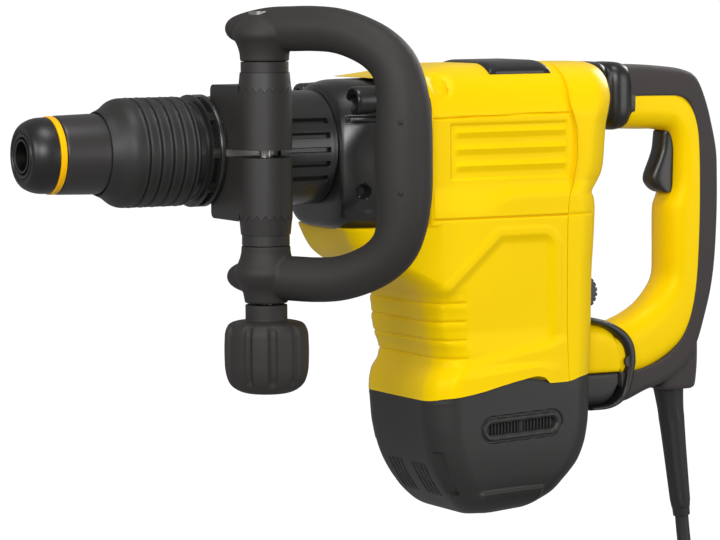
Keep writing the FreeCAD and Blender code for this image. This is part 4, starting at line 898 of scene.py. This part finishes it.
def joint_pieces():
    """Lower joint: the housing's stub in two colours and the rubber strap over its end."""
    upper = [(382, -157, 382, -119.6), (395, -157, 395, -119.8), (406, -157, 406, -121.4),
             (415, -157, 415, -124), (420.5, -157, 420.5, -130), (422.5, -157, 422.5, -139)]
    lower = [(382, -157, 382, -180.6), (398, -157, 398, -181), (410, -157, 410, -180.6),
             (417, -157, 417, -177), (421, -157, 421, -169)]
    top = make_piece("joint_stub", [rails([row + (19.6, 2.8, 14.0) for row in upper], 60, segments=96)], 40)
    dress(top, "Yellow shell", "housing", "yellow_plastic", "handle_stub")
    base = make_piece("joint_stub_base",
                      [rails([row + (19.4, 3.0, 14.0) for row in lower], 60, segments=96)], 40)
    dress(base, "Black motor plastic", "housing", "motor_plastic")
    line = curve([(392, -119.6), (398.4, -120.4), (406.2, -122.2), (414.1, -125), (420.6, -128.6),
                  (426.8, -133.4), (431, -140), (432.4, -149), (430.8, -159.7), (427.8, -169.6), (423, -176),
                  (414.2, -179.6), (400.8, -180.4)], 140)
    slope = np.gradient(line, axis=0)
    slope /= np.linalg.norm(slope, axis=1, keepdims=True)
    normal = np.stack([-slope[:, 1], slope[:, 0]], -1)
    width = curve([(0, 1.4), (0.25, 2.4), (0.42, 4.2), (0.6, 5.0), (0.75, 4.3), (0.88, 2.8), (1, 1.6)],
                  140)[:, 1:]
    rows = np.concatenate([line - normal * width, line + normal * width,
                           np.tile([20.8, 3.2, 3.2], (140, 1))], 1)
    strap = make_piece("joint_strap", [rails(rows, 120, segments=120)], 50)
    strap.data.materials.append(Finishes.get("Seal rubber"))
    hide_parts("joint_boot")
    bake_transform(strap)


def bellows_piece():
    """Rubber bellows: rounded square sections that swell in two rolls."""
    table = curve([(393, 16.8, 8.4, 47), (398, 17.4, 7.4, 48.8), (400.4, 19.4, 5.4, 50),
                   (404, 20.6, 4.0, 51), (409, 20.6, 4.2, 51.2), (412.4, 19.2, 6, 50.4),
                   (414.6, 17.4, 8.6, 48.6), (416.6, 17.4, 8.6, 48.6), (418.8, 19.2, 6.4, 50.2),
                   (422, 20.6, 5.2, 50.8), (426.5, 20.6, 5.6, 50.6), (430, 19.6, 7, 49.6),
                   (432.4, 18, 8.6, 48.6), (436, 17.7, 9, 48.4)], 150)
    middle, tall = (table[:, 2] + table[:, 3]) / 2, (table[:, 3] - table[:, 2]) / 2
    centres = np.stack([table[:, 0], 0 * middle, middle], -1)
    part = loft(centres, table[:, 1:2] * [[0, -1, 0]], tall[:, None] * [[0, 0, 1]], 4.0, 140)
    piece = make_piece("bellows_skin", [part], 60)
    piece.data.materials.append(Finishes.get("Seal rubber"))
    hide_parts("bellows")
    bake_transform(piece)


def relief_axis():
    """Start, direction and length of the strain relief's line."""
    start = np.array([473.7, 0, -167])
    end = np.array([485.5, 0, -261])
    return start, (end - start) / np.linalg.norm(end - start), np.linalg.norm(end - start)


def strain_relief_piece():
    start, along, length = relief_axis()

    def ribs(height, radius, angle):
        """Eight long ribs that fade out before the mouth."""
        return radius + 0.45 * np.cos(8 * angle) * window(height, 26, length - 12, 5) * (radius > 5.5)

    profile = [(0, 4.8, 0.1), (0, 11.2, 0.5), (6, 10.2, 3), (16, 9.2, 5), (30, 8.3, 6), (52, 7.5, 8),
               (length - 7, 6.6, 4), (length - 5.4, 6.0, 0.5), (length, 5.8, 0.8), (length, 4.8, 0.1)]
    outline = rounded(profile)
    points, faces = turned(outline, 144, "z", shape=ribs)
    ahead, across = np.array([along[2], 0, -along[0]]), np.array([0, 1.0, 0])
    points = start + points[..., 2:3] * along + points[..., 0:1] * ahead + points[..., 1:2] * across
    piece = make_piece("cord_sleeve", [(points, faces)], 45)
    return dress(piece, "Cord sheath", "handle", "seal_rubber", "strain_relief")


# Cord --------------------------------------------------------------------------------------------

CORD_DIAMETER = 0.0094
CORD_ROUTE = [(0.4855, 0, -0.261), (0.4879, 0, -0.287), (0.4889, -0.009, -0.310), (0.4893, -0.026, -0.3276),
              (0.4893, -0.050, -0.3373)]


def coil_points():
    """Turns of the laid-up cord: a spiral in, one layer up a spiral out, and one more in on top.
    Radius and height follow the turn count."""
    knots = [(0.0, 70.6, 4.7), (3.15, 41, 4.7), (3.6, 38.8, 14.1), (6.85, 70, 14.1), (7.3, 71, 23.5),
             (10.4, 41.6, 23.5)]
    turn = np.arange(0, 10.41, 1 / 16)
    table = np.stack([np.interp(turn, *np.array(knots).T[[0, column]]) for column in (1, 2)], -1)
    angle = np.radians(34) - 2 * np.pi * turn
    centre = coil_centre()
    points = np.stack([centre[0] + table[:, 0] * np.cos(angle), centre[1] + table[:, 0] * np.sin(angle),
                       FLOOR + table[:, 1]], -1)
    return points * MM


def coil_centre():
    low, high = corners("cord_coil")
    return (low[:2] + high[:2]) / 2


def cord_piece():
    """Supply cord as one smooth spline: from the sleeve to the floor, round the coil and up to the plug."""
    low, high = corners("plug")
    neck = np.array([(low[0] + high[0]) / 2, low[1], (low[2] + high[2]) / 2]) * MM
    shifts = [(21, -27, -14), (9, -24, -6), (1.5, -14, -1), (0, 0, 0)]
    lead_in = [neck + np.array(shift) * MM for shift in shifts]
    route = np.concatenate([CORD_ROUTE, coil_points(), lead_in])
    line = bpy.data.curves.new("supply_cord", "CURVE")
    line.dimensions = "3D"
    line.bevel_depth = CORD_DIAMETER / 2
    line.bevel_resolution = 6
    line.resolution_u = 5
    line.use_fill_caps = True
    spline = line.splines.new("NURBS")
    spline.points.add(len(route) - 1)
    spline.points.foreach_set("co", np.column_stack([route, np.ones(len(route))]).ravel())
    spline.order_u = 3
    spline.use_endpoint_u = True
    piece = bpy.data.objects.new("supply_cord", line)
    bpy.context.scene.collection.objects.link(piece)
    dress(piece, "Cord sheath", "handle", "cord_rubber", "cord_tube", "cord_coil")
    plug = plug_piece(neck / MM)


def plug_piece(neck):
    """Two-pole plug lying on the coil: ribbed neck, body, face and two pins along +Y."""
    y, centre = neck[1], (neck[2], neck[0])
    neck_rings = []
    for index in range(5):
        start = y + 2.4 + 3.6 * index
        size = 6.4 + 0.9 * index
        neck_rings += [(start, size, 0.3), (start + 2.2, size + 0.4, 0.3), (start + 2.4, size - 0.7, 0.2),
                       (start + 3.4, size - 0.6, 0.2)]
    front = [(y + 22, 12.2, 2), (y + 26, 12.9, 3), (y + 50, 12.9, 2), (y + 53.8, 11.4, 1.2),
             (y + 53.8, 0.01, 0)]
    body = [(y, 4.8, 0.1), (y, 5.9, 0.4)] + neck_rings + front
    parts = [turned(rounded(body, 4), 90, "y", centre, closed=False)]
    for side in (-9.5, 9.5):
        pin = [(y + 50, 0.01, 0), (y + 50, 2.35, 0.1), (y + 71, 2.35, 0.5), (y + 73, 1.2, 0.5),
               (y + 73, 0.01, 0)]
        parts.append(turned(rounded(pin, 4), 32, "y", (centre[0], centre[1] + side), closed=False))
    piece = make_piece("mains_plug", parts, 40)
    return dress(piece, "Cord sheath", "handle", "cord_rubber", "plug")


# Springs -----------------------------------------------------------------------------------------


def helix(centre, start, end, radius, wire, turns):
    """Round wire along X: the point at share t lies at angle 2 pi n t on a circle of the given radius."""
    share = np.linspace(0, 1, int(turns * 40))[:, None]
    angle = 2 * np.pi * turns * share
    outward = np.concatenate([0 * share, np.cos(angle), np.sin(angle)], 1)
    axis = np.concatenate([start + (end - start) * share, centre[0] + 0 * share, centre[1] + 0 * share], 1)
    middle = axis + radius * outward
    return loft(middle, wire * outward, np.tile([wire, 0, 0], (len(share), 1)), 2.0, 14)


def moving_spring(name, parts, ends, bodies, slot, *nodes):
    """A spring whose two ends follow two bodies, so it closes and opens between them."""
    piece = make_piece(name, parts, 60)
    piece.data.materials.append(Finishes.get("Spring wire"))
    if nodes:
        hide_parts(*nodes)
    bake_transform(piece)


def spring_pieces():
    moving_spring("sleeve_spring", [helix((0, 0), 63.6, 78.6, 22.4, 0.9, 3.5)], (63.6, 78.6),
                  ("sleeve", "holder"), "spring_steel", "release_spring")
    front = [helix((side * 14, 41.2), 271.2, 295, 3.5, 0.55, 5) for side in (-1, 1)]
    rear = [helix((side * 14, 41.2), 331, 354.6, 3.5, 0.55, 5) for side in (-1, 1)]
    moving_spring("absorber_spring_front", front, (271.2, 295), ("housing", "absorber"), "spring_steel",
                  "absorber_springs")
    moving_spring("absorber_spring_rear", rear, (354.6, 331), ("housing", "absorber"), "spring_steel")


# Frame pieces that keep their shape --------------------------------------------------------------

KEPT_FINISHES = {
    "Dark phosphated steel": ["tool_holder", "locking_rollers", "crank_gear", "crank", "connecting_rod"],
    "Turned steel": ["clamp_bolt", "clamp_band", "beat_piece", "ram", "wrist_pin", "cylinder",
                     "absorber_weight", "armature_shaft", "crank_bearings", "motor_bearings",
                     "housing_screws"],
    "Cast alloy": ["barrel", "piston"],
    "Black gear plastic": ["gear_case", "absorber_base"],
    "Spring wire": ["damping_springs"],
    "Clamp plastic": ["clamp_blocks", "toothed_spacers", "post_rings"],
    "Seal rubber": ["pivot_pin"],
    "Inner plastic": ["cooling_fan", "brush_frame", "control_module", "switch_unit", "carbon_brushes"],
    "Laminated core": ["armature_core", "stator"],
    "Copper bars": ["commutator"],
}


def finish_kept_nodes():
    for finish, nodes in KEPT_FINISHES.items():
        for node in nodes:
            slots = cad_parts[node].data.materials
            slots.clear()
            slots.append(Finishes.get(finish))


# Stage -------------------------------------------------------------------------------------------


def camera_matrix(azimuth, elevation, roll, place):
    """Camera that looks along the azimuth and down by the elevation, turned by roll about its own axis."""
    a, e, r = np.radians([azimuth, elevation, roll])
    right = np.array([np.cos(a), np.sin(a), 0])
    back = np.array([np.sin(a) * np.cos(e), -np.cos(a) * np.cos(e), np.sin(e)])
    up = np.cross(back, right)
    turned_right, turned_up = right * np.cos(r) - up * np.sin(r), right * np.sin(r) + up * np.cos(r)
    matrix = np.eye(4)
    matrix[:3, :3] = np.stack([turned_right, turned_up, back], -1)
    matrix[:3, 3] = place
    return Matrix(matrix.tolist())


def add_camera():
    data = bpy.data.cameras.new("Camera")
    data.lens = 175
    data.sensor_width = 36
    data.clip_end = 60
    camera = bpy.data.objects.new("Camera", data)
    bpy.context.scene.collection.objects.link(camera)
    camera.matrix_world = camera_matrix(-28.3, 5.0, 0.3, (-0.8355, -1.9897, 0.1168))
    bpy.context.scene.camera = camera


def add_floor():
    """White floor whose rim curves up to a backdrop: z = floor + height x smooth step of the distance."""
    radius = np.concatenate([[0.0001], np.linspace(0.4, 9, 60)])[:, None]
    angle = np.linspace(0, 2 * np.pi, 96, endpoint=False)[None, :]
    height = FLOOR - 0.2 + 7000 * ramp(radius, 4.5, 9) + 0 * angle
    points = np.stack([260 + 1000 * radius * np.cos(angle), 1000 * radius * np.sin(angle), height], -1)
    floor = make_piece("floor", [sheet(points, caps=False)], 80)
    material = bpy.data.materials.new("White paper")
    material.use_nodes = True
    shader = material.node_tree.nodes["Principled BSDF"]
    shader.inputs["Base Color"].default_value = (0, 0, 0, 1)
    shader.inputs["Specular IOR Level"].default_value = 0
    shader.inputs["Emission Color"].default_value = (1, 1, 1, 1)
    shader.inputs["Emission Strength"].default_value = 1.05
    floor.data.materials.append(material)
    floor.visible_diffuse = False
    floor.visible_glossy = False


def add_lights():
    lights = [("Key", (-1.0, -2.3, 0.9), 1.0, 33), ("Side", (-2.2, -1.2, 0.9), 1.2, 26),
              ("Fill", (1.8, -1.9, 0.2), 1.4, 15), ("Top", (0.1, -0.7, 2.3), 1.2, 22),
              ("Rim", (2.3, 0.9, 0.9), 1.0, 24)]
    for name, place, size, power in lights:
        data = bpy.data.lights.new(name, "AREA")
        data.shape = "DISK"
        data.size = size
        data.energy = power
        light = bpy.data.objects.new(name, data)
        light.location = place
        light.rotation_euler = (Vector((0.26, -0.02, -0.08)) - Vector(place)).to_track_quat("-Z",
                                                                                            "Y").to_euler()
        bpy.context.scene.collection.objects.link(light)
    world = bpy.data.worlds.new("Studio")
    world.use_nodes = True
    world.node_tree.nodes["Background"].inputs["Color"].default_value = (1, 1, 1, 1)
    world.node_tree.nodes["Background"].inputs["Strength"].default_value = 0.34
    bpy.context.scene.world = world
    bpy.context.scene.view_settings.view_transform = "Standard"


# Add-on ------------------------------------------------------------------------------------------


class HammerColours(bpy.types.PropertyGroup):
    """Colours that a user would change."""

    shell: bpy.props.FloatVectorProperty(
        name="Shell", description="Colour of the large moulded shells", subtype="COLOR", size=3, min=0, max=1,
        default=tone(248, 208, 2)[:3])
    ring: bpy.props.FloatVectorProperty(name="Ring", description="Colour of the ring on the locking sleeve",
                                        subtype="COLOR", size=3, min=0, max=1, default=tone(255, 188, 8)[:3])
    grip: bpy.props.FloatVectorProperty(name="Grip",
                                        description="Colour of the bow grip, its clamp and its knob",
                                        subtype="COLOR", size=3, min=0, max=1, default=tone(46, 43, 42)[:3])


def operator(name, label, words, steps):
    """An operator class that runs the given functions in order."""

    def execute(self, context):
        for step in steps:
            step()
        return {"FINISHED"}

    members = {"bl_idname": "hammer." + label, "bl_label": words, "__doc__": words, "execute": execute}
    return type(name, (bpy.types.Operator,), members)


PIECES = [
    ("cord", "Supply cord and plug", (cord_piece, strain_relief_piece)),
    ("chuck", "Tool holder and collars", (chuck_pieces, barrel_pieces)),
    ("side_handle", "Bow handle and knob", (bow_piece, bow_hole_piece, knob_piece)),
    ("shells", "Housing shells", (nose_shell_piece, main_shell_piece, rear_shell_piece, top_cover_piece)),
    ("motor_end", "Motor cap and vents", (motor_cap_piece, vent_bars)),
    ("dial", "Speed dial", (dial_piece,)),
    ("rear_handle", "Rear handle", (handle_core_piece, handle_back_piece, trigger_piece)),
    ("joints", "Handle joints", (joint_pieces, bellows_piece)),
    ("springs", "Springs that open and close", (spring_pieces,)),
    ("kept", "Finishes of the frame pieces", (finish_kept_nodes,)),
]
STAGE = ("stage", "Camera, lights and floor", (add_camera, add_floor, add_lights))
OPERATORS = [operator("HAMMER_OT_" + name, name, words, steps) for name, words, steps in PIECES + [STAGE]]


class HammerPanel(bpy.types.Panel):
    """Buttons for each part of the hammer and the colours it uses."""

    bl_idname = "HAMMER_PT_pieces"
    bl_label = "Demolition hammer"
    bl_space_type = "VIEW_3D"
    bl_region_type = "UI"
    bl_category = "Hammer"

    def draw(self, context):
        for colour in ("shell", "ring", "grip"):
            self.layout.prop(context.scene.hammer_colours, colour)
        for button in OPERATORS:
            self.layout.operator(button.bl_idname)


CLASSES = [HammerColours, *OPERATORS, HammerPanel]


def register():
    for each in CLASSES:
        bpy.utils.register_class(each)
    bpy.types.Scene.hammer_colours = bpy.props.PointerProperty(type=HammerColours)


def unregister():
    del bpy.types.Scene.hammer_colours
    for each in reversed(CLASSES):
        bpy.utils.unregister_class(each)


def main():
    register()
    for name, _, _ in [STAGE] + PIECES:
        getattr(bpy.ops.hammer, name)()


if __name__ == "__main__":
    main()
